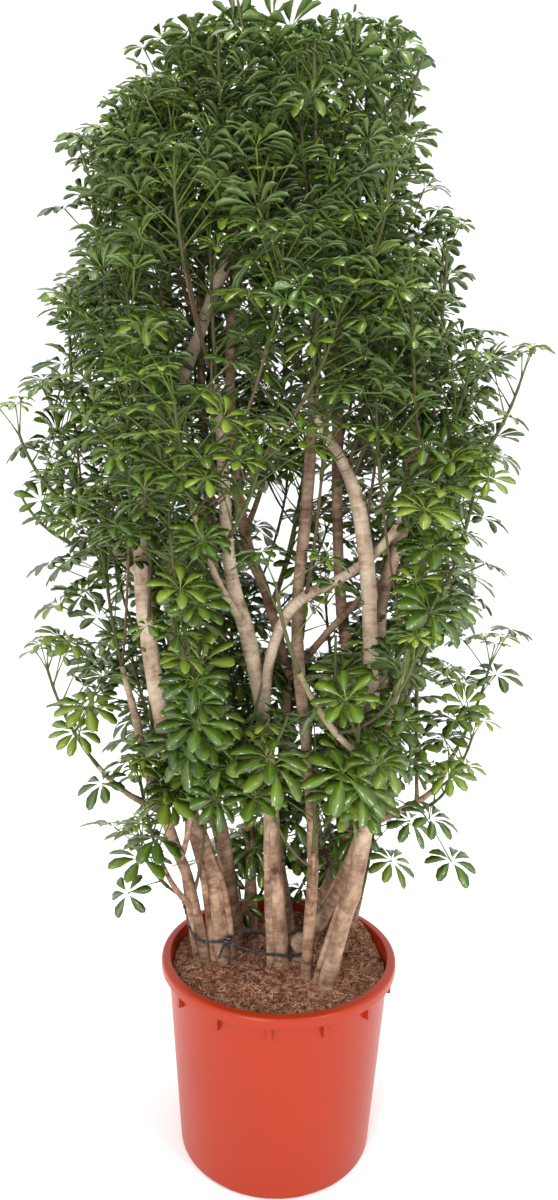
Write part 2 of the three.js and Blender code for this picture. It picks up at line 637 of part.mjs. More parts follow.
const axes = shoots.map((line) => keep(bar(line, SHOOT_SIDES)));
shoots.forEach(({ curve }, i) => {
  const own = [axes[i]];
  const others = placed.filter(({ solid }) => solid !== axes[i]);
  for (let k = 0; k < LEAVES_A_SHOOT; k++) {
    for (let attempt = 0; attempt < LEAF_ATTEMPTS; attempt++) {
      const plan = leafPlan(curve, i, k, attempt);
      if (!belongs(plan.hub)) continue;
      if (!isClear(leafSolid({ ...plan, swell: CLEARANCE }), others)) continue;
      const leaf = keep(leafSolid(plan));
      others.push(placed[placed.length - 1]);
      own.push(leaf);
      break;
    }
  }
  const name = `leafy_shoot_${String(i + 1).padStart(2, "0")}`;
  addNode(name, wasm.Manifold.union(own).simplify(SEAM_TOLERANCE), materials.leaf);
});

export default plant;
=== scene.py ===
"""A potted umbrella plant, Schefflera arboricola: a red plastic pot of coir soil with ten bark-covered stems,
a sprout, a root stump, a black tie, and about 2,700 umbrella leaves on green shoots and twigs. Sizes are
millimetres, and each mesh is stored in metres. The frame is +Z up, the plant's front faces -Y, and the origin
is the middle of the pot's underside."""
import math

import bpy
import numpy as np
from mathutils import Matrix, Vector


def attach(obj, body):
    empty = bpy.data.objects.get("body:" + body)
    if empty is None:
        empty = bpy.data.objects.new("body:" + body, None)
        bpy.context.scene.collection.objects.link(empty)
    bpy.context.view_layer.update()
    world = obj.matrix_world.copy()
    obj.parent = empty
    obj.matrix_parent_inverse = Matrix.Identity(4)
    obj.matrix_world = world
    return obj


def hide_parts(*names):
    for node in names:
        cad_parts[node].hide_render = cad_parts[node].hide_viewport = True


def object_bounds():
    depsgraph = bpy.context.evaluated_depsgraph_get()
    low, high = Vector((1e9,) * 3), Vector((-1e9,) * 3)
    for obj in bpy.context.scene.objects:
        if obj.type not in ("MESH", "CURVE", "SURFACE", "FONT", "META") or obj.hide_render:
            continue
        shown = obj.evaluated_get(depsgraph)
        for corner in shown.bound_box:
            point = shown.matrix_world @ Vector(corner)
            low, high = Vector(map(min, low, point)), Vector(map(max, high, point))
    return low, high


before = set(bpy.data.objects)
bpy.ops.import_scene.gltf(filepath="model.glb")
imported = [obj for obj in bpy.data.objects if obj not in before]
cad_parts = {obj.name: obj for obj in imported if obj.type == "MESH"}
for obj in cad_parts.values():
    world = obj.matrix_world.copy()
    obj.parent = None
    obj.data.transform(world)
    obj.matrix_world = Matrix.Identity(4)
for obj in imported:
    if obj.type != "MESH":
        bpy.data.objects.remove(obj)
cad_box = [[float(x) for x in corner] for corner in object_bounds()]

# Pot. One injection-moulded nursery pot in red-orange polypropylene, with a rolled lip, stacking ribs under
# the lip, drain holes and notches in its foot. It is a profile turned about the axis, with the ribs joined on
# and the holes and notches cut out.
MM = 0.001
POT_HEIGHT = 330
RIM_RADIUS = 200
WALL_TOP_RADIUS = 188
WALL_FOOT_RADIUS = 163.5
WALL = 3
FLOOR = 6
WALL_STEPS = 13
LIP_HEIGHT = 18
LIP_FOOT = POT_HEIGHT - LIP_HEIGHT
LIP_ROUND = 6
LIP_EDGE_ROUND = 2
INNER_ROUND = 1.5
FOOT_ROUND = 4
POT_SIDES = 120
SHARP_ANGLE = 38
RIB_COUNT = 14
RIB_DEPTH = 9
RIB_WIDTH = 7
RIB_HEIGHT = 24
RIB_OUT = 2.5
RIB_LAP = 1
RIB_TURN = 0.35
DRAIN_COUNT = 6
DRAIN_RADIUS = 9
DRAIN_CIRCLE = 102
DRAIN_SIDES = 24
NOTCH_COUNT = 6
NOTCH_WIDTH = 46
NOTCH_HEIGHT = 3
NOTCH_DEPTH = 16
NOTCH_TURN = 0.92
POT_RED = (0.350, 0.024, 0.002)
POT_DEEP_RED = (0.335, 0.023, 0.003)
POT_WORN = (0.38, 0.045, 0.016)


def put_mesh(name, points, faces, fields=None, face_fields=None):
    """Stores a smooth mesh. points are millimetres; faces is a list of arrays with a row of corners a face;
    fields holds values for each point, and face_fields for each face."""
    mesh = bpy.data.meshes.new(name)
    rows = [np.atleast_2d(np.asarray(part)) for part in faces]
    corners = np.concatenate([part.ravel() for part in rows]).astype(np.int32)
    sizes = np.concatenate([np.full(len(part), part.shape[1]) for part in rows])
    mesh.vertices.add(len(points))
    mesh.vertices.foreach_set("co", (np.asarray(points) * MM).astype(np.float32).ravel())
    mesh.loops.add(len(corners))
    mesh.loops.foreach_set("vertex_index", corners)
    mesh.polygons.add(len(sizes))
    mesh.polygons.foreach_set("loop_start", (np.cumsum(sizes) - sizes).astype(np.int32))
    mesh.update(calc_edges=True)
    mesh.polygons.foreach_set("use_smooth", np.ones(len(sizes), bool))
    for domain, values in (("POINT", fields or {}), ("FACE", face_fields or {})):
        for key, value in values.items():
            value = np.asarray(value, np.float32)
            kind, word = ("FLOAT_VECTOR", "vector") if value.ndim == 2 else ("FLOAT", "value")
            mesh.attributes.new(key, kind, domain).data.foreach_set(word, value.ravel())
    piece = bpy.data.objects.new(name, mesh)
    bpy.context.scene.collection.objects.link(piece)
    return piece


def finish_piece(piece, material, slot, *nodes):
    """Gives a piece its material, and puts it on the one body in place of its nodes. Its record slot is not
    used.
    """
    piece.data.materials.clear()
    piece.data.materials.append(material)
    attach(piece, "root")
    if nodes:
        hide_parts(*nodes)
    return piece


def around(radius, angle):
    """The x and y of a place at a radius and an angle."""
    return radius * np.cos(angle), radius * np.sin(angle)


def angles(sides):
    """Evenly spaced angles round a circle."""
    return 2 * np.pi * np.arange(sides) / sides


def grid_faces(rows, columns):
    """The quads of rings of points, one ring after another; the last point of a ring joins its first."""
    row, column = np.meshgrid(np.arange(rows - 1), np.arange(columns), indexing="ij")
    following = (column + 1) % columns
    low, high = row * columns, (row + 1) * columns
    return np.stack([low + column, low + following, high + following, high + column], -1).reshape(-1, 4)


def fan(first, second, apex):
    """Triangles from the edges between two rows of points to an apex."""
    return np.stack([first, second, np.full(len(first), apex)], -1)


def turned(profile, sides):
    """A profile of radius and height turned about the axis: x = r cos a, y = r sin a, z = h. The profile
    starts and ends on the axis, where a fan of triangles closes it."""
    radius, height = np.array(profile[1:-1]).T
    x, y = around(radius[:, None], angles(sides))
    body = np.stack([x, y, np.repeat(height[:, None], sides, 1)], -1).reshape(-1, 3)
    poles = np.array([[0, 0, profile[0][1]], [0, 0, profile[-1][1]]])
    side = np.arange(sides)
    following = (side + 1) % sides
    last = len(body) - sides
    fans = [fan(following, side, len(body)), fan(last + side, last + following, len(body) + 1)]
    return np.vstack([body, poles]), [grid_faces(len(radius), sides), *fans]


def arc(x, z, radius, start, end, steps):
    """Points on a round corner: centre plus radius times the cosine and sine of the angle."""
    angle = np.radians(np.linspace(start, end, steps + 1))
    return [(x + radius * c, z + radius * s) for c, s in zip(np.cos(angle), np.sin(angle))]


def block(length, width, height, centre, turn):
    """A box of that length, width and height, centred at a place, then turned about the pot's axis."""
    corner = np.array([(x, y, z) for x in (-1, 1) for y in (-1, 1) for z in (-1, 1)]) / 2
    c, s = math.cos(turn), math.sin(turn)
    points = (corner * (length, width, height) + centre) @ np.array([[c, s, 0], [-s, c, 0], [0, 0, 1]])
    return points, [[0, 1, 3, 2], [4, 6, 7, 5], [0, 4, 5, 1], [2, 3, 7, 6], [0, 2, 6, 4], [1, 5, 7, 3]]


def joined(parts):
    """Several meshes as one: the points one after another, with the face corners moved up to match."""
    starts = np.cumsum([0] + [len(points) for points, _ in parts[:-1]])
    faces = [np.atleast_2d(np.asarray(f)) + start for start, (_, fs) in zip(starts, parts) for f in fs]
    return np.vstack([points for points, _ in parts]), faces


def cut_or_join(piece, name, parts, operation):
    """Joins meshes to a piece or cuts them out, by one Boolean modifier that is applied at once."""
    tool = put_mesh(name, *joined(parts))
    modifier = piece.modifiers.new(operation, "BOOLEAN")
    modifier.object = tool
    modifier.operation = operation
    modifier.solver = "EXACT"
    made = bpy.data.meshes.new_from_object(piece.evaluated_get(bpy.context.evaluated_depsgraph_get()))
    piece.modifiers.clear()
    piece.data = made
    bpy.data.objects.remove(tool)


class Material:
    """A node material. Each method adds a node and gives its output, and its inputs are values or outputs."""

    def __init__(self, name):
        self.material = bpy.data.materials.new(name)
        self.material.use_nodes = True
        self.tree = self.material.node_tree

    def feed(self, made, inputs):
        for key, value in inputs.items():
            if isinstance(value, bpy.types.NodeSocket):
                self.tree.links.new(value, made.inputs[key])
            else:
                made.inputs[key].default_value = value

    def node(self, kind, inputs, **settings):
        made = self.tree.nodes.new("ShaderNode" + kind)
        for key, value in settings.items():
            setattr(made, key, value)
        self.feed(made, inputs)
        return made

    def place(self):
        return self.node("TexCoord", {}).outputs["Object"]

    def attribute(self, name, output="Vector"):
        return self.node("Attribute", {}, attribute_name=name).outputs[output]

    def parts(self, vector):
        return self.node("SeparateXYZ", {0: vector}).outputs

    def scaled(self, vector, scale):
        return self.node("Mapping", {"Vector": vector, "Scale": scale}).outputs["Vector"]

    def noise(self, vector, scale, detail, roughness=0.5):
        inputs = {"Vector": vector, "Scale": scale, "Detail": detail, "Roughness": roughness}
        return self.node("TexNoise", inputs).outputs["Fac"]

    def math(self, operation, *values):
        return self.node("Math", dict(enumerate(values)), operation=operation).outputs[0]

    def spread(self, value, low, high, start=0.0, end=1.0):
        inputs = {"Value": value, "From Min": start, "From Max": end, "To Min": low, "To Max": high}
        return self.node("MapRange", inputs).outputs[0]

    def ramp(self, value, *stops):
        made = self.node("ValToRGB", {"Fac": value})
        elements = made.color_ramp.elements
        while len(elements) < len(stops):
            elements.new(0.5)
        for element, (place, colour) in zip(elements, stops):
            element.position = place
            element.color = (*colour, 1)
        return made.outputs["Color"]

    def mix(self, share, first, second, blend="MIX"):
        first, second = ((*colour, 1) if isinstance(colour, tuple) else colour for colour in (first, second))
        made = self.node("Mix", {0: share, 6: first, 7: second}, data_type="RGBA", blend_type=blend)
        return made.outputs[2]

    def bump(self, height, strength, distance):
        inputs = {"Height": height, "Strength": strength, "Distance": distance}
        return self.node("Bump", inputs).outputs["Normal"]

    def surface(self, colour, roughness, specular, relief=None):
        inputs = {"Base Color": colour, "Roughness": roughness, "Specular IOR Level": specular}
        if relief is not None:
            inputs["Normal"] = relief
        self.feed(self.tree.nodes["Principled BSDF"], inputs)
        return self.material


def pot_material():
    """Glossy dyed polypropylene: a slightly uneven red, faint vertical flow marks, and fine scuffs."""
    make = Material("pot_plastic")
    place = make.place()
    flow = make.noise(make.scaled(place, (34, 34, 1.6)), 2.2, 4)
    scuffs = make.noise(place, 160, 5)
    base = make.ramp(make.noise(place, 7, 3), (0.30, POT_DEEP_RED), (0.70, POT_RED))
    worn = make.ramp(scuffs, (0.62, (0, 0, 0)), (0.80, (0.35, 0.35, 0.35)))
    relief = make.bump(make.math("MULTIPLY", flow, 0.5), 0.10, 0.002)
    return make.surface(make.mix(worn, base, POT_WORN), make.spread(scuffs, 0.27, 0.42), 0.32, relief)


wall_rise = LIP_FOOT - FOOT_ROUND
pot_profile = [
    (0, 0),
    *arc(WALL_FOOT_RADIUS - FOOT_ROUND, FOOT_ROUND, FOOT_ROUND, -90, 0, 6),
    *[(WALL_FOOT_RADIUS + t * (WALL_TOP_RADIUS - WALL_FOOT_RADIUS), FOOT_ROUND + t * wall_rise)
      for t in np.linspace(0, 1, WALL_STEPS + 1)[1:-1]],
    (WALL_TOP_RADIUS, LIP_FOOT - INNER_ROUND),
    *arc(WALL_TOP_RADIUS + INNER_ROUND, LIP_FOOT - INNER_ROUND, INNER_ROUND, 180, 90, 3),
    *arc(RIM_RADIUS - LIP_EDGE_ROUND, LIP_FOOT + LIP_EDGE_ROUND, LIP_EDGE_ROUND, -90, 0, 4),
    *arc(RIM_RADIUS - LIP_ROUND, POT_HEIGHT - LIP_ROUND, LIP_ROUND, 0, 90, 10),
    *arc(WALL_TOP_RADIUS - WALL + INNER_ROUND, POT_HEIGHT - INNER_ROUND, INNER_ROUND, 90, 180, 4),
    (WALL_FOOT_RADIUS - WALL, FLOOR),
    (0, FLOOR),
]
pot = put_mesh("moulded_pot", *turned(pot_profile, POT_SIDES))
rib_centre = (WALL_TOP_RADIUS + RIB_OUT, 0, LIP_FOOT - RIB_HEIGHT / 2 + RIB_LAP)
cut_or_join(pot, "ribs", [
    block(RIB_DEPTH, RIB_WIDTH, RIB_HEIGHT, rib_centre, 2 * math.pi * (i + RIB_TURN) / RIB_COUNT)
    for i in range(RIB_COUNT)], "UNION")
cut_or_join(pot, "notches", [
    block(2 * NOTCH_DEPTH, NOTCH_WIDTH, 2 * NOTCH_HEIGHT, (WALL_FOOT_RADIUS, 0, 0),
          2 * math.pi * (i + NOTCH_TURN) / NOTCH_COUNT) for i in range(NOTCH_COUNT)], "DIFFERENCE")
drain_profile = [(0, -FLOOR), (DRAIN_RADIUS, -FLOOR), (DRAIN_RADIUS, 3 * FLOOR), (0, 3 * FLOOR)]
drain_points, drain_faces = turned(drain_profile, DRAIN_SIDES)
cut_or_join(pot, "drains", [
    (drain_points + [*around(DRAIN_CIRCLE, angle), 0], drain_faces)
    for angle in angles(DRAIN_COUNT)], "DIFFERENCE")
pot.data.set_sharp_from_angle(angle=math.radians(SHARP_ANGLE))
finish_piece(pot, pot_material(), "pot_plastic", "pot")

# Soil. Coir potting mix: a red-brown, lumpy fill up to 30 mm below the rim, with fine fibres and crumbs lying
# on it. The surface is one closed mesh, and the fibres and crumbs are closed bars and grains set into it.
SOIL_LEVEL = 300
SOIL_EDGE_DROP = 6
SOIL_GAP = 1
SOIL_SINK = 0.5
SOIL_RINGS = 62
SOIL_SIDES = 168
HEAP_FROM, HEAP_TO = 138, 180
HEAP_HEIGHT = 10
FIBRE_COUNT = 2600
FIBRE_SHORTEST, FIBRE_EXTRA = 9, 34
FIBRE_INSET = 4
FIBRE_FLATTEST, FIBRE_STEEPEST = 0.05, 0.6
CRUMB_COUNT = 2400
CRUMB_SMALLEST, CRUMB_EXTRA = 1.2, 3.6
CRUMB_INSET = 5
COIR_DARK = (0.050, 0.018, 0.009)
COIR = (0.25, 0.098, 0.052)
COIR_LIGHT = (0.63, 0.33, 0.20)
UP = np.array([0, 0, 1.0])

# Mounds of the soil as x, y, height and spread, and its lumps as size and height.
SOIL_CLUMPS = [(-20, 10, 9, 90), (132, 96, 20, 30), (-60, -95, 5, 34), (70, -115, 4, 30)]
SOIL_LUMPS = [(21, 3.6), (9, 2.4), (4, 1.3)]


def draw(*keys):
    """A repeatable draw from 0 to 1 for whole numbers, or for arrays of them: each key is mixed into a 32-bit
    number by xor, multiplication and shift."""
    mask = np.uint64(0xFFFFFFFF)
    h = np.uint64(2166136261)
    for key in keys:
        h = ((h ^ (np.asarray(key).astype(np.uint64) + np.uint64(101))) * np.uint64(16777619)) & mask
        h = h ^ (h >> np.uint64(15))
    h = (h * np.uint64(2246822519)) & mask
    h = h ^ (h >> np.uint64(13))
    return h.astype(float) / 2**32 if isinstance(h, np.ndarray) else float(h) / 2**32


def vary(middle, share, *keys):
    """A draw spread evenly about a middle value, by a share of it."""
    return middle * (1 + share * (2 * draw(*keys) - 1))


def part_way(value, start, end):
    """How far a value is on the way from start to end, from 0 to 1."""
    return np.clip((value - start) / (end - start), 0, 1)


def lumps(x, y, size, seed):
    """Smooth noise from -1 to 1: a draw at each corner of a square lattice, blended between the corners."""
    i, j = np.floor(x / size), np.floor(y / size)
    fx, fy = x / size - i, y / size - j
    fx, fy = fx * fx * (3 - 2 * fx), fy * fy * (3 - 2 * fy)
    a, b = i.astype(np.int64) + 5000, j.astype(np.int64) + 5000
    low = draw(a, b, seed) * (1 - fx) + draw(a + 1, b, seed) * fx
    high = draw(a, b + 1, seed) * (1 - fx) + draw(a + 1, b + 1, seed) * fx
    return 2 * (low * (1 - fy) + high * fy) - 1


def on_soil(x, y, lift=0.0):
    """Places on the soil. Its level is two crossed waves and a bell-shaped mound for each clump, with lumps
    of three sizes on it, and an uneven heap against the wall."""
    z = SOIL_LEVEL + 2.2 * np.sin(x / 19 + 1.3) * np.cos(y / 23) + 1.6 * np.sin((x + y) / 12)
    for cx, cy, height, spread in SOIL_CLUMPS:
        z = z + height * np.exp(-((x - cx) ** 2 + (y - cy) ** 2) / (2 * spread**2))
    for seed, (size, height) in enumerate(SOIL_LUMPS, 1):
        z = z + height * lumps(x, y, size, seed)
    heap = part_way(np.hypot(x, y), HEAP_FROM, HEAP_TO) ** 1.4
    z = z + HEAP_HEIGHT * heap * (1 + 0.45 * lumps(x, y, 38, 4)) - SOIL_SINK
    return np.stack([x, y, z + lift], -1)


def wall_inside(z):
    """The soil's radius at a height: the pot's inner wall less a small gap."""
    return (WALL_FOOT_RADIUS - WALL - SOIL_GAP
            + (WALL_TOP_RADIUS - WALL_FOOT_RADIUS) * (z - FLOOR) / (POT_HEIGHT - FLOOR))


def soil_material(name, dark, middle, light, grain):
    """Damp coir: a ramp through three browns by fine and coarse noise, rough and deeply bumped."""
    make = Material(name)
    place = make.place()
    coarse = make.noise(place, 105, 4)
    fine = make.noise(place, grain, 6, 0.7)
    both = make.math("MULTIPLY_ADD", fine, 0.64, make.math("MULTIPLY", coarse, 0.36))
    colour = make.ramp(both, (0.41, dark), (0.50, middle), (0.60, light))
    return make.surface(colour, 0.93, 0.2, make.bump(both, 0.9, 0.005))


soil_edge = wall_inside(SOIL_LEVEL - SOIL_EDGE_DROP)
ring_radius = soil_edge * np.linspace(1, 0, SOIL_RINGS + 1)[:-1]
soil_top = on_soil(*around(ring_radius[:, None], angles(SOIL_SIDES)))
base_height = np.full(SOIL_SIDES, FLOOR + SOIL_GAP / 2)
soil_base = np.stack([*around(wall_inside(FLOOR), angles(SOIL_SIDES)), base_height], -1)
soil_middle = on_soil(np.zeros(1), np.zeros(1))
soil_points = np.vstack([soil_base, soil_top.reshape(-1, 3), soil_middle])
side = np.arange(SOIL_SIDES)
inner = SOIL_RINGS * SOIL_SIDES
middle_fan = fan(inner + side, inner + (side + 1) % SOIL_SIDES, len(soil_points) - 1)
soil = put_mesh("coir_soil", soil_points, [grid_faces(SOIL_RINGS + 1, SOIL_SIDES), middle_fan, side[::-1]])
finish_piece(soil, soil_material("coir", COIR_DARK, COIR, COIR_LIGHT, 330), "soil", "soil")


def unit(v):
    """Vectors at length one."""
    return v / np.linalg.norm(v, axis=-1, keepdims=True)


def ring_of(across, over, sides):
    """Unit directions round a line at each of its places: across cos a + over sin a."""
    angle = angles(sides)[:, None]
    return across[..., None, :] * np.cos(angle) + over[..., None, :] * np.sin(angle)


def bar_faces(rings, sides, bars=1):
    """The faces of closed bars of rings of points: the quads round each, and a cap at each end."""
    first = rings * sides * np.arange(bars)[:, None]
    quads = (first[..., None] + grid_faces(rings, sides)).reshape(-1, 4)
    return [quads, first + np.arange(sides)[::-1], first + (rings - 1) * sides + np.arange(sides)]


def arched_bars(start, reach, bend, widths, sides):
    """Many thin closed bars: each centre line is start + reach s + bend s squared, and widths holds the
    radius of each ring, as one row for all the bars or a row for each."""
    widths = np.atleast_2d(widths)
    rings = widths.shape[1]
    s = np.linspace(0, 1, rings)[None, :, None]
    centre = start[:, None] + reach[:, None] * s + bend[:, None] * s * s
    along = unit(reach[:, None] + 2 * bend[:, None] * s)
    is_steep = np.abs(unit(reach)[:, 2:]) > 0.8
    aside = np.where(is_steep, np.array([[1.0, 0, 0]]), UP[None])[:, None]
    across = unit(np.cross(along, aside))
    ring = ring_of(across, np.cross(along, across), sides)
    points = (centre[:, :, None] + widths[..., None, None] * ring).reshape(-1, 3)
    return points, bar_faces(rings, sides, len(start))


def scattered(items, key, inset):
    """The x and y of places drawn evenly over the soil, at least an inset from its edge."""
    return around((soil_edge - inset) * np.sqrt(draw(items, key)), 2 * np.pi * draw(items, key + 1))


fibre = np.arange(FIBRE_COUNT)
fibre_place = np.stack(scattered(fibre, 1, FIBRE_INSET), -1)
fibre_length = (FIBRE_SHORTEST + FIBRE_EXTRA * draw(fibre, 4) ** 2.4)[:, None]
lift = FIBRE_FLATTEST + (FIBRE_STEEPEST - FIBRE_FLATTEST) * draw(fibre, 5) ** 3
fibre_heading = np.stack([*around(np.cos(lift), 2 * np.pi * draw(fibre, 3)), np.sin(lift)], -1)
fibre_bend = fibre_length * np.stack(
    [0.9 * draw(fibre, 6) - 0.45, 0.9 * draw(fibre, 7) - 0.45, -0.12 - 0.4 * np.sin(lift)], -1)
fibre_reach = fibre_heading * fibre_length
fibre_end = fibre_place + fibre_reach[:, :2] + fibre_bend[:, :2]
lies_inside = np.hypot(*fibre_end.T) < soil_edge - 2
fibre_widths = (0.34 + 0.42 * draw(fibre, 8))[:, None] * (1 - 0.5 * np.linspace(0, 1, 4))
fibre_start = on_soil(*fibre_place.T, 0.6)
fibres = put_mesh("coir_fibres", *arched_bars(
    *(values[lies_inside] for values in (fibre_start, fibre_reach, fibre_bend, fibre_widths)), 3))
finish_piece(fibres, soil_material("coir_fibre", COIR, (0.47, 0.235, 0.135), (0.82, 0.55, 0.37), 60), "soil")

crumb = np.arange(CRUMB_COUNT)
crumb_size = CRUMB_SMALLEST + CRUMB_EXTRA * draw(crumb, 13) ** 3
crumb_centre = on_soil(*scattered(crumb, 11, CRUMB_INSET), 0.3 * crumb_size)
octahedron = np.array([[1, 0, 0], [0, 1, 0], [-1, 0, 0], [0, -1, 0], [0, 0, 1], [0, 0, -1]], float)
octahedron_faces = np.array([
    [0, 1, 4], [1, 2, 4], [2, 3, 4], [3, 0, 4], [1, 0, 5], [2, 1, 5], [3, 2, 5], [0, 3, 5]])
stretch = np.stack([vary(1.3, 0.5, crumb, 15), vary(0.9, 0.4, crumb, 16), vary(0.6, 0.4, crumb, 17)], -1)
shape = octahedron[None] * stretch[:, None] * crumb_size[:, None, None]
shape = shape * (1 + 0.35 * (draw(crumb[:, None], np.arange(6)[None], 18) - 0.5))[..., None]
cos_x, sin_x = around(shape[..., 0], 2 * np.pi * draw(crumb, 14)[:, None])
cos_y, sin_y = around(shape[..., 1], 2 * np.pi * draw(crumb, 14)[:, None])
shape = np.stack([cos_x - sin_y, sin_x + cos_y, shape[..., 2]], -1)
crumbs = put_mesh("coir_crumbs", (crumb_centre[:, None] + shape).reshape(-1, 3),
                  [(6 * crumb[:, None, None] + octahedron_faces[None]).reshape(-1, 3)])
crumb_material = soil_material("coir_crumb", COIR_DARK, (0.22, 0.092, 0.054), (0.46, 0.25, 0.16), 200)
finish_piece(crumbs, crumb_material, "soil")

# Stems. Ten stems, a sprout and a stump, each with the limbs and branches that grow from it. Each is a round
# bar carried along the same line as in the frame, and the lines are worked out first, because a branch and
# its shoot are kept only where they have room.
ROOT_DEPTH = 80
ROOT_SHARE = 0.92
RING_STEP = 90
STATIONS = 32
STEM_TIP_RADIUS = 4.2
BRANCH_TIP_RADIUS = 3.8
BRANCH_BASE_SHARE = 0.62
BRANCH_BASE_MOST = 6.5
BRANCH_BEND = np.array([0.6, 0.6, 0.35])
BRANCH_RISE_LEAST = 40
BRANCH_RISE_BEST = 170
BRANCH_RISE_MOST = 330
BRANCH_RISE_WEIGHT = 0.35
LOWEST_BRANCH = 375
BRANCH_TIPS = 24
TIP_CHOICES = 26
WOOD_ROOM = 9
# Bark tones, from tan to dark red-brown. The rear stems get the darkest tone as painted shade at the back of
# the clump.
LIGHT, MIDDLE, WARM, DARK = 0.0, 0.45, 0.68, 0.9

# Each stem from the soil up: x, y, z and radius. A limb is a strong side stem, and starts inside its stem.
STEMS = [
    {"name": "stem_left_outer", "tone": MIDDLE, "path": [
        [-128, 0, 312, 9], [-152, -10, 440, 9], [-184, -18, 537, 8.5], [-220, -28, 640, 7.5],
        [-240, -38, 735, 7], [-262, -48, 830, 5.5]]},
    {"name": "stem_left", "tone": LIGHT, "path": [
        [-94, -8, 312, 13], [-112, -4, 450, 13], [-146, 0, 550, 13.5], [-187, 0, 645, 14],
        [-208, 5, 745, 14], [-226, 0, 858, 14], [-240, 0, 972, 13], [-236, 10, 1093, 12],
        [-209, 20, 1222, 11], [-172, 22, 1305, 10.5], [-131, 20, 1419, 10], [-103, 15, 1490, 9],
        [-104, 8, 1556, 8], [-108, -2, 1618, 6]]},
    {"name": "stem_left_rear", "tone": MIDDLE, "path": [
        [-78, 57, 312, 14], [-105, 56, 506, 13], [-145, 62, 643, 11], [-182, 68, 766, 10],
        [-200, 74, 890, 9.5], [-210, 76, 1026, 9], [-216, 72, 1194, 8.5], [-213, 64, 1328, 8],
        [-214, 50, 1460, 7], [-222, 42, 1540, 5.5]]},
    {"name": "stem_rear_left", "tone": DARK, "path": [
        [-58, 108, 312, 10], [-54, 114, 459, 10], [-78, 120, 628, 9.5], [-108, 126, 810, 9],
        [-132, 126, 990, 8.5], [-149, 120, 1181, 8], [-157, 108, 1320, 7.5], [-158, 104, 1440, 7.5],
        [-156, 112, 1590, 5.5]]},
    {"name": "stem_front_left", "tone": LIGHT, "path": [
        [4, -8, 312, 15], [-14, -17, 497, 13], [-24, -32, 660, 12], [-41, -44, 781, 12],
        [-62, -54, 884, 12], [-84, -62, 956, 11.5], [-96, -68, 1036, 10], [-104, -90, 1157, 8.5],
        [-112, -118, 1265, 6]],
     "limbs": [[
         [-34, -40, 762, 8], [-26, -62, 850, 8.5], [-4, -62, 915, 8.5], [28, -52, 950, 8.5],
         [68, -26, 967, 8], [108, -8, 990, 8], [146, -12, 1024, 8], [178, -28, 1072, 7],
         [206, -60, 1132, 5.5]]]},
    {"name": "stem_rear_leader", "tone": DARK, "path": [
        [14, 118, 312, 8], [-4, 98, 470, 9], [0, 90, 640, 9], [0, 82, 800, 9], [-36, 76, 935, 9],
        [-70, 70, 1021, 9], [-93, 66, 1150, 8.5], [-104, 64, 1300, 8], [-100, 60, 1430, 8],
        [-86, 55, 1530, 7.5], [-50, 54, 1632, 5.5]],
     "limbs": [[
         [0, 82, 795, 7], [35, 64, 830, 7], [74, 52, 880, 6.5], [122, 60, 930, 6.5], [176, 76, 970, 6],
         [236, 104, 1024, 5]]]},
    {"name": "stem_centre", "tone": WARM, "path": [
        [46, -50, 312, 9], [52, -40, 509, 9], [36, -16, 706, 9.5], [20, 0, 837, 10],
        [17, 8, 951, 10], [27, 12, 1083, 9.5], [34, 0, 1258, 8], [38, -22, 1422, 6.5],
        [34, -36, 1545, 5.5]]},
    {"name": "stem_front_right", "tone": LIGHT, "path": [
        [78, -70, 312, 14], [126, -64, 521, 13], [139, -56, 687, 13], [134, -47, 845, 13],
        [126, -44, 976, 12.5], [106, -48, 1094, 11], [76, -66, 1162, 9], [40, -94, 1216, 7],
        [16, -122, 1268, 5.5]]},
    {"name": "stem_right_rear", "tone": MIDDLE, "path": [
        [54, 48, 312, 11], [106, 32, 438, 11], [152, 12, 597, 11], [162, 12, 736, 12],
        [155, 24, 921, 12], [186, 32, 1046, 11.5], [197, 36, 1153, 9.5], [209, 32, 1250, 8],
        [206, 24, 1325, 6.5], [188, 14, 1395, 5.5]],
     "limbs": [[[138, 18, 545, 6], [198, 14, 576, 5.5], [258, 24, 612, 4.8], [290, 30, 672, 4.2]]]},
    {"name": "stem_rear_right", "tone": DARK, "path": [
        [64, 102, 312, 15], [108, 92, 454, 15], [118, 86, 607, 13], [112, 92, 804, 11],
        [92, 96, 945, 10], [80, 86, 1151, 9], [78, 66, 1346, 8], [89, 44, 1500, 7], [98, 34, 1618, 5.5]]},
    {"name": "sprout_stem", "tone": LIGHT, "path": [
        [136, 96, 312, 5.5], [141, 98, 345, 5], [148, 96, 380, 4.2]]},
]

# Crown: height, left edge and right edge of the foliage seen from the front, and its depth to width.
CROWN_TOP = 1840
CROWN_EDGES = np.array([
    [440, -230, 190], [520, -300, 270], [620, -330, 315], [740, -385, 385], [860, -390, 430],
    [1000, -425, 425], [1150, -450, 360], [1260, -445, 370], [1360, -420, 365], [1440, -400, 290],
    [1530, -385, 225], [1640, -355, 220], [1720, -290, 215], [1790, -230, 190],
    [CROWN_TOP, -170, 150]], float)
CROWN_DEPTH_SHARE = 0.86
LEAF_INSET = 24
LEAF_TOP_INSET = 6
OUTER_TIPS = [
    [-334, -30, 1060], [-308, 20, 1225], [-266, -20, 1430], [-285, -50, 700], [-218, -50, 505],
    [272, -30, 1150]]
OUTER_SHIFT = 30
TIP_INSET = 118
TIP_LOWEST, TIP_HIGHEST = 490, 1600
CROWN_TOP_FROM = 1480
TIP_DEPTH = 0.4

# Stretches of bark that stay bare in front: left, right, lower and upper edge.
BARE_STRETCHES = [
    [-95, -25, 720, 990], [90, 160, 760, 1080], [-30, 150, 850, 990], [-235, -150, 640, 900],
    [-220, 180, 312, 540]]
BARE_FRONT = -50


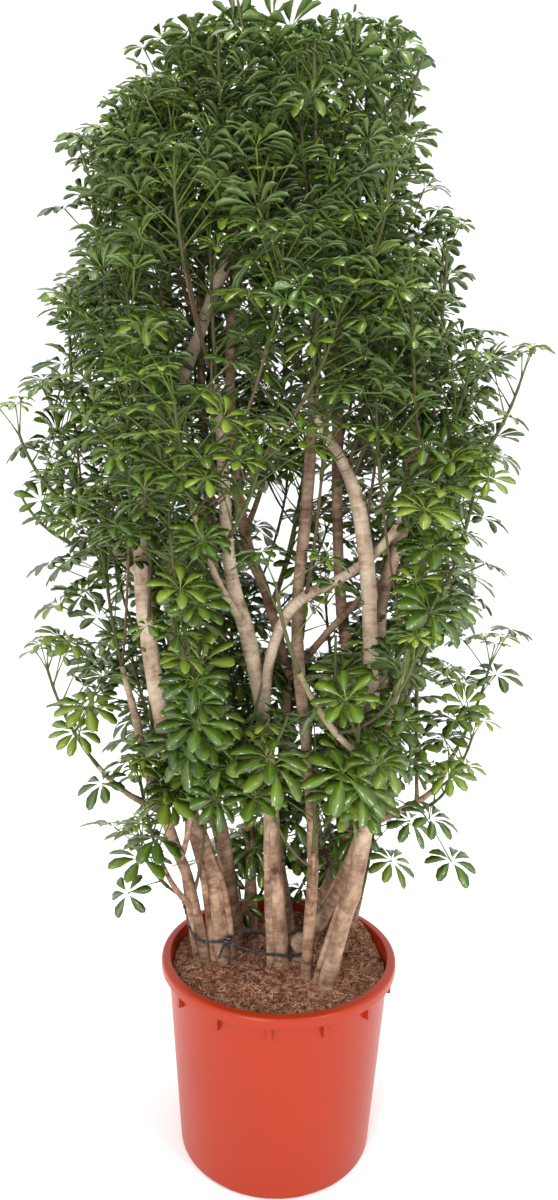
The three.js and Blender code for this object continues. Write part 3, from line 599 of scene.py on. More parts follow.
def smooth_line(points):
    """A curve through points: between two of them it is the uniform Catmull-Rom cubic, whose slope at a point
    is half the step from the one before to the one after."""
    points = np.array(points, float)
    padded = np.vstack([2 * points[0] - points[1], points, 2 * points[-1] - points[-2]])
    last = len(points) - 1

    def curve(t):
        at = np.asarray(t, float) * last
        k = np.clip(np.floor(at).astype(int), 0, last - 1)
        w = (at - k)[..., None]
        before, start, end, after = (padded[k + i] for i in range(4))
        slope, slope_next = 0.5 * (end - before), 0.5 * (after - start)
        return (start + w * slope + w**2 * (3 * end - 3 * start - 2 * slope - slope_next)
                + w**3 * (2 * start - 2 * end + slope + slope_next))

    return curve


def bent_line(start, middle, end):
    """A quadratic Bezier curve."""

    def curve(t):
        t = np.asarray(t, float)[..., None]
        return (1 - t) ** 2 * start + 2 * (1 - t) * t * middle + t**2 * end

    return curve


def branch_line(start, tip, base, end):
    """A branch's line, which goes outwards first and then bends up, tapered from base to end."""
    return line_of(bent_line(start, start + (tip - start) * BRANCH_BEND, tip), tapered(base, end))


def heading_at(curve, t):
    """The unit heading of a curve: a short chord about the place."""
    t = np.asarray(t, float)
    return unit(curve(np.clip(t + 1e-4, 0, 1)) - curve(np.clip(t - 1e-4, 0, 1)))


def line_of(curve, radius):
    """A curve with its thickness, its length, the joints where a branch may start, and stations along it."""
    length = np.linalg.norm(np.diff(curve(np.linspace(0, 1, 201)), axis=0), axis=1).sum()
    rings = max(2, math.floor(length / RING_STEP + 0.5))
    joint_t = np.arange(1, rings) / rings
    station_t = np.linspace(0, 1, STATIONS + 1)
    return {"curve": curve, "radius": radius, "length": length, "joints": curve(joint_t),
            "joint_radii": radius(joint_t), "stations": curve(station_t), "station_radii": radius(station_t)}


def tapered(start, end):
    """A thickness that goes evenly from start to end."""
    return lambda t: start + (end - start) * np.asarray(t, float)


def limb_line(points):
    """The line through points that hold x, y, z and radius, with the radius even between them."""
    values = np.array(points, float)
    places = np.linspace(0, 1, len(values))
    return line_of(smooth_line(values[:, :3]), lambda t: np.interp(t, places, values[:, 3]))


def rooted(path):
    """A stem's path with its foot carried down into the soil."""
    x, y, z, radius = path[0]
    return [[x * ROOT_SHARE, y * ROOT_SHARE, z - ROOT_DEPTH, radius * ROOT_SHARE], *path]


def finished(path):
    """A path whose last point has the radius of a shoot's foot."""
    return [*path[:-1], [*path[-1][:3], STEM_TIP_RADIUS]]


def room_between(line, others):
    """The least room between one line's stations and the others'."""
    centres = np.concatenate([other["stations"] for other in others])
    radii = np.concatenate([other["station_radii"] for other in others])
    apart = np.linalg.norm(line["stations"][:, None] - centres[None], axis=-1)
    return float((apart - line["station_radii"][:, None] - radii[None]).min())


def edges_at(z, edges):
    """The left and right edge at a height, from rows of height, left edge and right edge."""
    return (np.interp(z, edges[:, 0], edges[:, k]) for k in (1, 2))


def crown_at(z):
    """Middle and half-width of the crown at a height."""
    left, right = edges_at(z, CROWN_EDGES)
    return (left + right) / 2, (right - left) / 2


def belongs(p):
    """Whether a leaf stays within the crown, and clear of the bare bark in front."""
    x, y, z = p
    middle, half = crown_at(z)
    room = half - LEAF_INSET
    is_inside = math.hypot((x - middle) / room, y / (room * CROWN_DEPTH_SHARE)) < 1
    is_in_front = y < BARE_FRONT and any(x0 < x < x1 and z0 < z < z1 for x0, x1, z0, z1 in BARE_STRETCHES)
    return is_inside and z < CROWN_TOP - LEAF_TOP_INSET and not is_in_front


def crown_point(i, choice):
    """One choice of place for a branch tip: near a listed outer tip, or drawn over the crown."""
    if i < len(OUTER_TIPS):
        return np.array(OUTER_TIPS[i]) + [OUTER_SHIFT * (2 * draw(i, choice, key) - 1) for key in (4, 5, 6)]
    z = TIP_LOWEST + (TIP_HIGHEST - TIP_LOWEST) * draw(i, choice, 1)
    deep = draw(i, choice, 3)
    share = math.sqrt(deep) if z > CROWN_TOP_FROM else 1 - TIP_DEPTH * deep * deep
    middle, half = crown_at(z)
    x, y = around((half - TIP_INSET) * share, 2 * math.pi * draw(i, choice, 2))
    return np.array([middle + x, y * CROWN_DEPTH_SHARE, z])


def cheapest(centres, tip, best, weight, least, most):
    """The place on the wood that a branch to a tip grows from: the one with the least distance sideways plus
    a weight times how far its rise is from the best one, of those at a fair height."""
    rise = tip[2] - centres[:, 2]
    sideways = np.hypot(tip[0] - centres[:, 0], tip[1] - centres[:, 1])
    is_fair = (rise > least) & (rise < most) & (centres[:, 2] > LOWEST_BRANCH)
    return int(np.argmin(np.where(is_fair, sideways + weight * np.abs(rise - best), np.inf)))


def branch_to(tip):
    """The stem that a branch to a tip grows from, at one of its joints, and the branch."""
    lines = [(stem, line) for stem in wood for line in stem["lines"]]
    centres = np.concatenate([line["joints"] for _, line in lines])
    radii = np.concatenate([line["joint_radii"] for _, line in lines])
    owners = [stem for stem, line in lines for _ in line["joints"]]
    k = cheapest(centres, tip, BRANCH_RISE_BEST, BRANCH_RISE_WEIGHT, BRANCH_RISE_LEAST, BRANCH_RISE_MOST)
    base = min(radii[k] * BRANCH_BASE_SHARE, BRANCH_BASE_MOST)
    return owners[k], branch_line(centres[k], tip, base, BRANCH_TIP_RADIUS)


def all_wood(stems):
    """The lines of stems, limbs and branches."""
    return [line for stem in stems for line in stem["lines"] + stem["branches"]]


wood = [{"name": stem["name"], "tone": stem["tone"], "branches": [],
         "lines": [limb_line(finished(path)) for path in [rooted(stem["path"]), *stem.get("limbs", [])]]}
        for stem in STEMS]

# Shoots. The green growth of the last year, which carries on from the end of each stem, limb and branch and
# bends upwards. Each is seated just off the end of its wood.
SEAT_GAP = 0.3
SHOOT_LENGTH = 165
SHOOT_BEND_MIDDLE = 0.5
SHOOT_BEND_OUT = 0.7
SHOOT_BEND_UP = 0.3
SHOOT_TIP_RADIUS = 2.4


def shoot_from(line, i, length=SHOOT_LENGTH):
    """The green shoot that carries on from the end of a line, and bends upwards."""
    start, heading = line["curve"](1.0), heading_at(line["curve"], 1.0)
    reach = vary(length, 0.15, i, 3)
    start = start + heading * SEAT_GAP
    end = start + heading * reach * SHOOT_BEND_OUT + UP * reach * SHOOT_BEND_UP
    curve = bent_line(start, start + heading * reach * SHOOT_BEND_MIDDLE, end)
    return line_of(curve, tapered(BRANCH_TIP_RADIUS, SHOOT_TIP_RADIUS))


shoots = [shoot_from(line, i) for i, line in enumerate(all_wood(wood))]
for i in range(BRANCH_TIPS):
    best = None
    for choice in range(TIP_CHOICES):
        tip = crown_point(i, choice)
        spacing = min(np.linalg.norm(shoot["stations"][0] - tip) for shoot in shoots)
        if best and spacing <= best[0]:
            continue
        stem, branch = branch_to(tip)
        shoot = shoot_from(branch, len(shoots))
        others = all_wood([other for other in wood if other is not stem])
        is_free = ((i < len(OUTER_TIPS) or belongs(shoot["stations"][-1]))
                   and room_between(branch, others + shoots) > WOOD_ROOM
                   and room_between(shoot, all_wood(wood) + shoots) > WOOD_ROOM)
        if is_free:
            best = (spacing, stem, branch, shoot)
    best[1]["branches"].append(best[2])
    shoots.append(best[3])

# Bark. Tan bark with ring scars and knots covers the wood, greener towards the tips. It is redder and darker
# low down, partly the old bark's own red-brown and partly painted shade under the crown, and the rear stems
# are darker still, which is painted shade at the back of the clump. Thinner stems wind round the stout ones
# from the soil up and grow into them, and dry stubs of lost twigs stand out of the front ones.
BARK_STEP = 8
STEM_SIDES, BRANCH_SIDES, WOUND_SIDES, STUB_SIDES, STUMP_SIDES = 14, 10, 12, 8, 20
STEM_COLLAR, LIMB_COLLAR, BRANCH_COLLAR, STUB_COLLAR = 0.12, 0.5, 0.7, 0.9
COLLAR_LENGTH = 13
SCAR_SPACING, SCAR_WIDTH, SCAR_HEIGHT = 38, 2.6, 0.020
KNOT_SPACING, KNOT_LENGTH, KNOT_HEIGHT, KNOT_FOCUS = 85, 8.0, 0.17, 2.2
OVAL, OVAL_LENGTH = 0.07, 60
ROUGHNESS_HEIGHT, ROUGHNESS_LENGTH = 0.035, 14
SWELL_FROM, SWELL_TO = 640, 380
SWELL, SWELL_LUMPS, SWELL_LENGTH = 0.06, 0.13, 46
SMOOTH_RADIUS, ROUGH_RADIUS = 3.5, 7.5
# Heights over which the bark turns redder and darker down to the soil: partly its own red-brown, partly
# painted shade under the crown.
RED_SHADE_FROM, RED_SHADE_TO = 720, 500
GREEN_FROM, GREEN_TO = 620, 820
WOODY_RADIUS, GREEN_RADIUS = 6.2, 3.6
STUB_RADIUS, STUB_END_RADIUS = 3.6, 2.4
BARK_DARK = [(0.050, 0.023, 0.012), (0.190, 0.100, 0.056), (0.46, 0.29, 0.19)]
BARK_LIGHT = [(0.18, 0.105, 0.062), (0.46, 0.325, 0.225), (0.68, 0.545, 0.41)]
BARK_OLIVE = [(0.075, 0.085, 0.028), (0.20, 0.19, 0.075), (0.34, 0.28, 0.15)]
SAWN_WOOD = (0.62, 0.54, 0.44)

# Thin stems wound round stout ones: share of the stout one's length, radius, turn and winding.
WOUND = {
    "stem_left_outer": [(0.42, 7.5, 2.6, 1.6)],
    "stem_left": [(0.27, 8.5, 2.2, 1.9), (0.22, 7, 0.5, -1.4)],
    "stem_left_rear": [(0.22, 8, 0.9, 1.5), (0.18, 7, 3.4, -1.2)],
    "stem_rear_left": [(0.20, 7.5, -0.6, 1.2), (0.17, 6.5, 2.6, 1.0)],
    "stem_front_left": [(0.30, 8, 3.3, 0.9), (0.24, 6.5, 0.3, 1.2)],
    "stem_rear_leader": [(0.22, 7.5, 3.3, -1.0), (0.20, 6.5, -0.2, 1.3)],
    "stem_centre": [(0.20, 6, 0.8, 1.4)],
    "stem_front_right": [(0.36, 8, 0.5, 1.5), (0.24, 7, 2.2, 1.0)],
    "stem_right_rear": [(0.24, 8, 1.6, 1.6)],
    "stem_rear_right": [(0.24, 8.5, 0.4, 1.3), (0.20, 7, 3.0, -1.1)],
}
# Dry stubs of lost twigs on the front stems: share of the stem's length, turn and length.
STUBS = {
    "stem_left": [(0.42, -2.2, 9), (0.55, -0.9, 7)],
    "stem_front_left": [(0.68, 3.35, 19), (0.47, -0.5, 6), (0.28, -2.6, 8)],
    "stem_centre": [(0.36, -0.6, 8), (0.60, 3.6, 7)],
    "stem_front_right": [(0.52, -2.5, 8), (0.71, -0.4, 10), (0.30, 3.4, 6)],
}


def square_to(heading):
    """Two unit directions square to each heading of a line, carried along it without a twist."""
    a = np.array([1.0, 0, 0]) if abs(heading[0, 2]) > 0.9 else UP
    across = np.empty_like(heading)
    for k, h in enumerate(heading):
        a = unit(a - h * (a @ h))
        across[k] = a
    return across, np.cross(heading, across)


def bar(line, sides, seed, collar=0.0):
    """A closed bark-covered bar round a line. A point is centre + radius (across cos a + over sin a), and the
    radius is scaled by ring scars, one-sided knots, a slightly oval section and a collar at the foot. With the
    mesh come its bark coordinates, how green it is, and how far it turns dark red-brown low down, which is
    partly the bark's own colour and partly painted shade under the crown."""
    t = np.linspace(0, 1, max(4, round(line["length"] / BARK_STEP)) + 1)
    centres, radii = line["curve"](t), line["radius"](t)[:, None]
    ring = ring_of(*square_to(heading_at(line["curve"], t)), sides)
    s, height, angle = (t * line["length"])[:, None], centres[:, 2:], angles(sides)
    grid = np.ones((len(t), sides))
    scar = np.arange(max(1, int(line["length"] / SCAR_SPACING)))
    scar_at = SCAR_SPACING * (scar + draw(scar, seed, 31))
    scar_height = vary(SCAR_HEIGHT, 0.9, scar, seed, 32)
    scars = (scar_height * np.exp(-((s - scar_at) / SCAR_WIDTH) ** 2)).sum(1)[:, None]
    knot = np.arange(max(1, int(line["length"] / KNOT_SPACING)))
    knot_at, knot_turn = KNOT_SPACING * (knot + draw(knot, seed, 33)), 2 * np.pi * draw(knot, seed, 34)
    facing = np.exp(KNOT_FOCUS * (np.cos(angle[:, None] - knot_turn) - 1))
    knots = (vary(KNOT_HEIGHT, 0.6, knot, seed, 35) * np.exp(-((s - knot_at) / KNOT_LENGTH) ** 2)) @ facing.T
    oval = OVAL * np.cos(2 * angle + s / OVAL_LENGTH + seed)
    uneven = ROUGHNESS_HEIGHT * lumps(s / ROUGHNESS_LENGTH * grid, 2.5 * np.cos(angle) * grid + seed, 1.0, 36)
    swell = SWELL_LUMPS * lumps(s / SWELL_LENGTH * grid, 1.3 * np.cos(angle + seed) * grid, 1.0, 38)
    low = part_way(height, SWELL_FROM, SWELL_TO)
    rough = part_way(radii, SMOOTH_RADIUS, ROUGH_RADIUS)
    scale = (1 + rough * (scars + knots + oval + uneven + low * (SWELL + swell))
             + collar * np.exp(-s / COLLAR_LENGTH))
    points = centres[:, None] + ring * (radii * scale)[..., None]
    grain = np.stack([*around(radii, angle), (s + 900 * draw(seed, 37)) * grid], -1) * MM
    green = part_way(height, GREEN_FROM, GREEN_TO) * part_way(radii, WOODY_RADIUS, GREEN_RADIUS) * grid
    red_and_shade_low = part_way(height, RED_SHADE_FROM, RED_SHADE_TO) * grid
    faces = bar_faces(len(t), sides)
    return points.reshape(-1, 3), faces, grain.reshape(-1, 3), green.ravel(), red_and_shade_low.ravel()


def wound(line, share, radius, turn, winding):
    """A thinner stem that winds round a line from its foot: the line's centre plus a reach in the level
    direction turn + winding t, which shrinks at the top so that the thin stem grows into the stout one."""

    def curve(t):
        t = np.asarray(t, float)
        reach = (line["radius"](share * t) + 0.55 * radius) * (1 - t**5)
        return line["curve"](share * t) + np.stack([*around(reach, turn + winding * t), 0 * t], -1)

    return line_of(curve, tapered(radius, 0.6 * radius))


def stub(line, share, turn, length):
    """A dry stub: a short bar out of a line at a share of its length, level and a little upwards."""
    start = line["curve"](share)
    way = unit(np.array([*around(1.0, turn), 0.4]))
    end = start + way * (float(line["radius"](share)) + length)
    return line_of(bent_line(start, (start + end) / 2, end), tapered(STUB_RADIUS, STUB_END_RADIUS))


def bark_material():
    """Smooth tan bark with darker patches, fine rings across the stem and lenticels; a tone attribute turns
    it dark red-brown, which is partly the bark's own colour and partly painted shade low down and on the rear
    stems, and a green one turns thin wood olive."""
    make = Material("bark")
    grain = make.attribute("grain")
    kind = make.parts(make.attribute("bark"))
    patches = make.noise(grain, 34, 6, 0.62)
    rings = make.noise(make.scaled(grain, (42, 42, 190)), 1, 5, 0.65)
    streaks = make.noise(make.scaled(grain, (95, 95, 15)), 1, 4, 0.6)
    specks = make.node("TexVoronoi", {"Vector": grain, "Scale": 240}).outputs["Distance"]
    value = make.math("MULTIPLY_ADD", streaks, 0.16, make.math("MULTIPLY", patches, 0.56))
    value = make.math("MULTIPLY_ADD", rings, 0.28, value)
    light = make.ramp(value, *zip((0.36, 0.45, 0.58), BARK_LIGHT))
    dark = make.ramp(value, *zip((0.38, 0.47, 0.60), BARK_DARK))
    olive = make.ramp(value, *zip((0.36, 0.55, 0.68), BARK_OLIVE))
    young = make.mix(kind["Y"], make.mix(kind["X"], light, dark), olive)
    dots = make.ramp(specks, (0.10, (0.62, 0.55, 0.46)), (0.22, (1, 1, 1)))
    colour = make.mix(1.0, make.mix(kind["Z"], young, SAWN_WOOD), dots, "MULTIPLY")
    relief = make.bump(make.math("MULTIPLY_ADD", rings, 0.5, value), 0.8, 0.0022)
    return make.surface(colour, 0.74, 0.3, relief)


bark = bark_material()
for number, stem in enumerate(wood):
    main = stem["lines"][0]
    plans = [(line, STEM_SIDES, k, LIMB_COLLAR if k else STEM_COLLAR) for k, line in enumerate(stem["lines"])]
    plans += [(line, BRANCH_SIDES, 5 + k, BRANCH_COLLAR) for k, line in enumerate(stem["branches"])]
    plans += [(wound(main, *place), WOUND_SIDES, 7 + k, STEM_COLLAR)
              for k, place in enumerate(WOUND.get(stem["name"], []))]
    plans += [(stub(main, *place), STUB_SIDES, 200 + k, STUB_COLLAR)
              for k, place in enumerate(STUBS.get(stem["name"], []))]
    bars = [bar(line, sides, 10 * number + seed, collar) for line, sides, seed, collar in plans]
    grain, green, red_and_shade_low = (np.concatenate([made[k] for made in bars]) for k in (2, 3, 4))
    # The stem's tone, turned further towards dark red-brown low down: the rear stems' darker tone is painted
    # shade, and the darkening low down is partly the bark's own red-brown and partly painted shade.
    tone = stem["tone"] + (1 - stem["tone"]) * vary(0.85, 0.15, number, 39) * red_and_shade_low
    piece = put_mesh(stem["name"] + "_bark", *joined([made[:2] for made in bars]),
                     {"grain": grain, "bark": np.stack([tone, green, 0 * green], -1)})
    finish_piece(piece, bark, "bark", stem["name"])

# Root stump. The short stump of a cut root or stem in the middle of the soil, knobby, with a paler sawn top.
# It is one bark-covered bar.
ROOT_STUMP = [[30, 20, 288, 17], [31, 16, 322, 18], [36, 10, 342, 13], [38, 8, 352, 8]]
STUMP_SEED = 77
# The stump has the dark red-brown of the stems at the soil: partly its own colour, partly painted shade under
# the crown.
STUMP_TONE = 0.85
SAWN_SHARE = 0.3
SAWN_FROM, SAWN_TO = 346, 351

stump_points, stump_faces, stump_grain = bar(limb_line(ROOT_STUMP), STUMP_SIDES, STUMP_SEED)[:3]
sawn = SAWN_SHARE * part_way(stump_points[:, 2], SAWN_FROM, SAWN_TO)
stump_kind = np.stack([np.full(len(sawn), STUMP_TONE), 0 * sawn, sawn], -1)
stump = put_mesh("root_stump_bark", stump_points, stump_faces, {"grain": stump_grain, "bark": stump_kind})
finish_piece(stump, bark, "bark", "root_stump")

# Tie. A black band of two twisted strands, knotted in front of the left stem: one run crosses to the stump,
# one passes behind the front left stem, a long tail goes up the outer stem and two short tails hang down.
KNOT_LOW, KNOT_HIGH = np.array([-91, -29, 353.0]), np.array([-84, -27, 366.0])
TIE_RUNS = [
    [[-88, -27, 358], [-57, -32, 347], [-28, -36, 341], [-2, -31, 337], [21, -22, 330], [38, -7, 326],
     [52, 4, 325]],
    [[-86, -26, 361], [-79, -10, 358], [-64, 8, 356], [-42, 16, 352], [-18, 17, 347], [2, 9.5, 342],
     [17.5, -2, 337], [22, -20, 331]],
    [[-88, -27, 358], [-99, -26, 356], [-118, -20, 351], [-135, -17.5, 352], [-150, -15, 367],
     [-158, -14, 396], [-164, -18, 420]],
    [[-88, -28, 358], [-82, -36, 342], [-84, -42, 324]],
    [[-90, -28, 358], [-96, -35, 345], [-101, -38, 332]],
]
TIE_SIDES = 8
STRAND_RADIUS = 1.5
STRAND_OFFSET = 1.25
STRAND_STEP = 3
TWIST_PITCH = 19
KNOT_TURNS = 2.5
KNOT_RADIUS = 4.6
KNOT_STRAND_RADIUS = 2.3
KNOT_STEPS = 40


def round_bar(centres, radius, sides):
    """A closed bar through close-set centres, of one radius or of one radius for each centre."""
    ring = ring_of(*square_to(unit(np.gradient(centres, axis=0))), sides)
    points = centres[:, None] + np.reshape(radius, (-1, 1, 1)) * ring
    return points.reshape(-1, 3), bar_faces(len(centres), sides)


def circling(centres, axis, beside, radius, turn):
    """A line that circles about centres: centre + radius (across cos turn + over sin turn), where across is
    square to the axis and to the direction beside it."""
    across = unit(np.cross(axis, beside))
    over = np.cross(axis, across)
    return centres + radius * (across * np.cos(turn)[:, None] + over * np.sin(turn)[:, None])


def twisted(points, phase):
    """One strand of the band: the band's centre line plus a small circle that turns once each pitch."""
    line = line_of(smooth_line(points), tapered(1, 1))
    t = np.linspace(0, 1, max(8, round(line["length"] / STRAND_STEP)))
    turn = 2 * np.pi * t * line["length"] / TWIST_PITCH + phase
    return circling(line["curve"](t), heading_at(line["curve"], t), (0.2, 0.1, 1.0), STRAND_OFFSET, turn)


def tie_material():
    """Black stretchy plastic with a dull sheen, dusty in places."""
    make = Material("tie_rubber")
    dust = make.noise(make.place(), 130, 4)
    colour = make.ramp(dust, (0.42, (0.012, 0.012, 0.014)), (0.72, (0.075, 0.062, 0.055)))
    return make.surface(colour, 0.5, 0.5, make.bump(dust, 0.3, 0.001))


tie_parts = [
    round_bar(twisted(run, phase), STRAND_RADIUS, TIE_SIDES) for run in TIE_RUNS for phase in (0, math.pi)]
knot_t = np.linspace(0, 1, KNOT_STEPS)
knot_line = KNOT_LOW + (KNOT_HIGH - KNOT_LOW) * knot_t[:, None]
knot = circling(knot_line, unit(KNOT_HIGH - KNOT_LOW), UP, KNOT_RADIUS, 2 * np.pi * KNOT_TURNS * knot_t)
tie_parts.append(round_bar(knot, KNOT_STRAND_RADIUS, TIE_SIDES))
finish_piece(put_mesh("black_tie", *joined(tie_parts)), tie_material(), "tie", "stem_tie")

# Foliage. Each shoot carries umbrella leaves on thin petioles, set round it by the golden angle: five to nine
# glossy leaflets, folded along the rib, that spread from one hub. The frame's leaves keep their places, with
# more drawn between them, and thin leafy twigs fill the crown. A leaflet is a thin closed blade.
LEAVES_A_SHOOT = 4
LEAF_ATTEMPTS = 14
ATTEMPT_BACK, ATTEMPT_TURN, ATTEMPT_SHORTER = 0.02, 0.45, 0.03
TOP_LEAF_AT, SIDE_LEAVES_AT, SIDE_LEAVES_SPAN = 0.96, 0.88, 0.7
GOLDEN_ANGLE = math.radians(137.5)
PETIOLE_LENGTH = 92
TOP_PETIOLE_SHARE = 0.66
ADDED_PETIOLE_LENGTH, ADDED_PETIOLE_CUT = 86, 20
PETIOLE_SHAPE = np.array([2.0, 1.1, 1.0, 1.6])
PETIOLE_SIDES = 3
PETIOLE_ARCH = 0.10
PETIOLE_RISE = 0.18
LEAN_TOP, LEAN_SIDE = 0.35, 1.05
ADDED_LEAN, ADDED_LEAN_CUT = 1.15, 0.45
ADDED_TURN = 0.9
LEAF_UP, LEAF_AHEAD = 0.8, 0.55
ADDED_UP, ADDED_AHEAD = 0.9, 0.38
LEAFLET_LENGTH = 60
LEAFLET_HALF_WIDTH = 0.168
LEAFLET_ARCH, ADDED_ARCH = 0.416, 0.46
LEAFLET_FOLD = 0.26
LEAFLET_WAVE, LEAFLET_WAVES = 0.014, 7
LEAFLET_STALK = 0.12
BACK_LEAFLET_CUT = 0.16
DROOP = 0.42
HUB_TOP = 0.8
HUB_MISS = 0.05
BLADE_ALONG = np.array([0.20, 0.45, 0.72, 0.93])
BLADE_ACROSS = np.array([-1, 0, 1])
BLADE_WIDEST = 0.285
BLADE_THICKNESS = 0.6
STALK_SHARE = 0.85
STALK_STEP = 9
SHOOT_SIDES, TWIG_SIDES = 8, 7
WORD_PETIOLE, WORD_SHOOT, WORD_TWIG = 1.0, 2.0, 3.0

# How many leaves a shoot, a twig and a low twig may add, the share of its foot that stays bare, where the low
# ones may stand, and the young leaves at its end.
MORE_LEAVES = 15
MORE_ATTEMPTS = 6
TWIG_LEAVES = 13
LEAST_LEAVES = 5
LOW_LEAVES = 8
SHOOT_BARE, TWIG_BARE = 0.12, 0.05
LOW_LEAST = 350
LOW_RISE, LOW_RISE_FROM = 0.9, 150
LOW_REACH = 185
BESIDE_REACH = 290
HUB_SPACING = 19
YOUNG_LEAVES = 3
YOUNG_LENGTH = 31
YOUNG_PETIOLE = 46
YOUNG_DROOP = 0.12
YOUNG_TURN = 2.4
YOUNG_AT, YOUNG_LEAN = 0.985, 0.45
YOUNG_KEY = 40

# The frame's leaves in a finer look: their droop, their size where bark shows, high up and outside the dense
# crown, and the steps that bring one back inside the frame's box, with some room left.
SOFTER_DROOP = 0.2
LIMP_DROOP = 0.60
LIMP_BELOW, LIMP_FULLY_BELOW = 700, 550
LARGE_BELOW = 800
BEFORE_BARK_SIZE = 0.62
HIGH_SIZE = 0.88
OUTLIER_SIZE = 0.86
FIT_ATTEMPTS = 14
FIT_DROOP, FIT_ARCH, FIT_LENGTH = 0.06, 0.94, 0.97
FIT_SIDES, FIT_REACH = 12, 1.04
ROOM_LOW, ROOM_HIGH = 3, 5

# How leaves change with height: size, slimness, droop and freshness.
SIZE_BY_HEIGHT = np.array([[500, 0.96], [800, 0.92], [1150, 0.80], [1450, 0.77], [1800, 0.74]])
SLIM_BY_HEIGHT = np.array([[700, 1.0], [1300, 0.84]])
DROOP_BY_HEIGHT = np.array([[450, 0.34], [600, 0.12], [800, -0.08], [1300, -0.06], [1750, -0.22]])
FRESH_FROM, FRESH_TO = 1380, 1760
FRESH_LEAST = 560
FRESH_DRAW = 0.86

# The camera, solved from the ellipses of the pot's rim and foot. It also tells where a leaf is in the
# photograph, whose plant starts PHOTO_TOP pixels below the top edge.
PHOTO_WIDTH, PHOTO_HEIGHT = 558, 1200
PHOTO_TOP = 24
CAMERA_BACK = 1393
CAMERA_HEIGHT = 1107
CAMERA_ASIDE = -14
CAMERA_PITCH = math.radians(7.0)
CAMERA_ROLL = math.radians(1.36)
FOCAL_PIXELS = 857

# Where bark shows in front, as left, top, right and bottom edge in the photograph's pixels, and how far off
# the leaves in front of it keep their hubs.
BARK_WINDOWS = [
    (222, 520, 262, 700), (348, 470, 382, 640), (275, 545, 395, 625), (292, 470, 322, 545),
    (296, 640, 318, 900), (130, 560, 160, 720), (184, 288, 228, 380), (180, 834, 372, 940)]
WINDOW_SIDE, WINDOW_ABOVE, WINDOW_BELOW = 18, 22, 12
WINDOW_FRONT = 25

# Where light shows between the stems, and where the crown is thin: the same edges, and the share of leaves
# left out there.
LIGHT_WINDOW = (245, 475, 355, 655)
LIGHT_SHARE = 0.85
THINNED = [
    (385, 560, 560, 800, 0.3), (20, 560, 130, 800, 0.2), (420, 250, 540, 560, 0.25),
    (90, 800, 190, 900, 0.25), (30, 380, 130, 520, 0.2)]

# The open foot of the crown, in millimetres: its height, which falls away from the axis and at the back.
SKIRT_HEIGHT = 600
SKIRT_FALL = 0.55
SKIRT_FALL_FROM = 130
SKIRT_UNEVEN = 90
REAR_DROP = 120
REAR_FROM, REAR_TO = 10, 70

# The dense part of the crown, inside its furthest twigs: height, left edge and right edge.
FILL_EDGES = np.array([
    [440, -180, 130], [520, -260, 150], [580, -255, 165], [640, -255, 195], [700, -290, 210],
    [760, -340, 220], [820, -355, 248], [880, -320, 280], [940, -285, 315], [1000, -335, 275],
    [1060, -430, 305], [1120, -440, 315], [1180, -385, 330], [1240, -405, 320], [1300, -400, 305],
    [1360, -400, 340], [1420, -390, 275], [1480, -365, 185], [1540, -340, 175], [1600, -320, 205],
    [1660, -335, 220], [1720, -245, 215], [1780, -205, 190], [CROWN_TOP, -170, 140]], float)
FILL_INSET = 34
OUTLIER_SHARE = 0.2

# Twigs that fill the crown. Most tips are drawn over it, the first ones are set on its shoulders and sides,
# and the low twigs run from a place on a stem to their tip. Three of the low ones stand at the sides.
TWIG_COUNT = 134
TWIG_CHOICES = 14
TWIG_SHOOT_LENGTH = 125
TWIG_RISE_LEAST, TWIG_RISE_BEST, TWIG_RISE_MOST = 20, 110, 260
TWIG_RISE_WEIGHT = 0.4
TWIG_BASE_SHARE, TWIG_BASE_MOST = 0.5, 4.0
TWIG_TIP_RADIUS = 2.7
TWIG_LEAVES_ABOVE = 60
LOW_TWIG_RADIUS = 3.4
LOW_SHOOT_LENGTH = 90
LOW_SHOOT_KEY = 300
SHOULDER_TIPS = [
    (-140, -60, 1640), (-110, -120, 1620), (-280, -30, 1490), (-250, -90, 1500), (-50, -110, 1650),
    (60, -100, 1660), (130, -60, 1620), (-290, -60, 1430), (-190, 40, 1610), (20, -160, 1600),
    (-350, -30, 960), (-360, 20, 1020), (-350, -70, 1090), (-345, -20, 1250), (225, -40, 1130)]
LOW_TWIGS = [
    ((-144, -8, 420), (-188, -30, 452)), ((-57, 110, 340), (-40, 140, 352)), ((10, 112, 340), (30, 150, 350)),
    ((70, 100, 340), (72, 148, 355)), ((-84, 57, 350), (-100, 105, 356)), ((12, 108, 370), (-18, 150, 378)),
    ((108, 92, 450), (60, 110, 470)), ((66, 100, 350), (20, 130, 362)), ((-100, 56, 450), (-60, 90, 462)),
    ((140, 30, 520), (176, 70, 540)), ((205, 14, 580), (226, -12, 590)), ((262, 24, 615), (284, 8, 640))]
SIDE_TWIGS = (0, 10, 11)

# Leaf colours from a shaded leaf to a pale one, fresh ones, and those of stalks, twigs and veins.
LEAF_GREENS = [(0.021, 0.054, 0.003), (0.067, 0.136, 0.0065), (0.175, 0.256, 0.018)]
FRESH_GREENS = [(0.140, 0.245, 0.018), (0.285, 0.385, 0.038)]
STALK_COLOURS = [(0.110, 0.160, 0.030), (0.070, 0.085, 0.026), (0.110, 0.072, 0.040)]
VEIN_GREEN = (0.13, 0.21, 0.045)
RIB_GREEN = (0.20, 0.29, 0.06)
FOOT_GREEN = (0.40, 0.43, 0.11)
UNDERSIDE_GREEN = (0.072, 0.122, 0.030)
LEAF_SPECULAR = 0.85


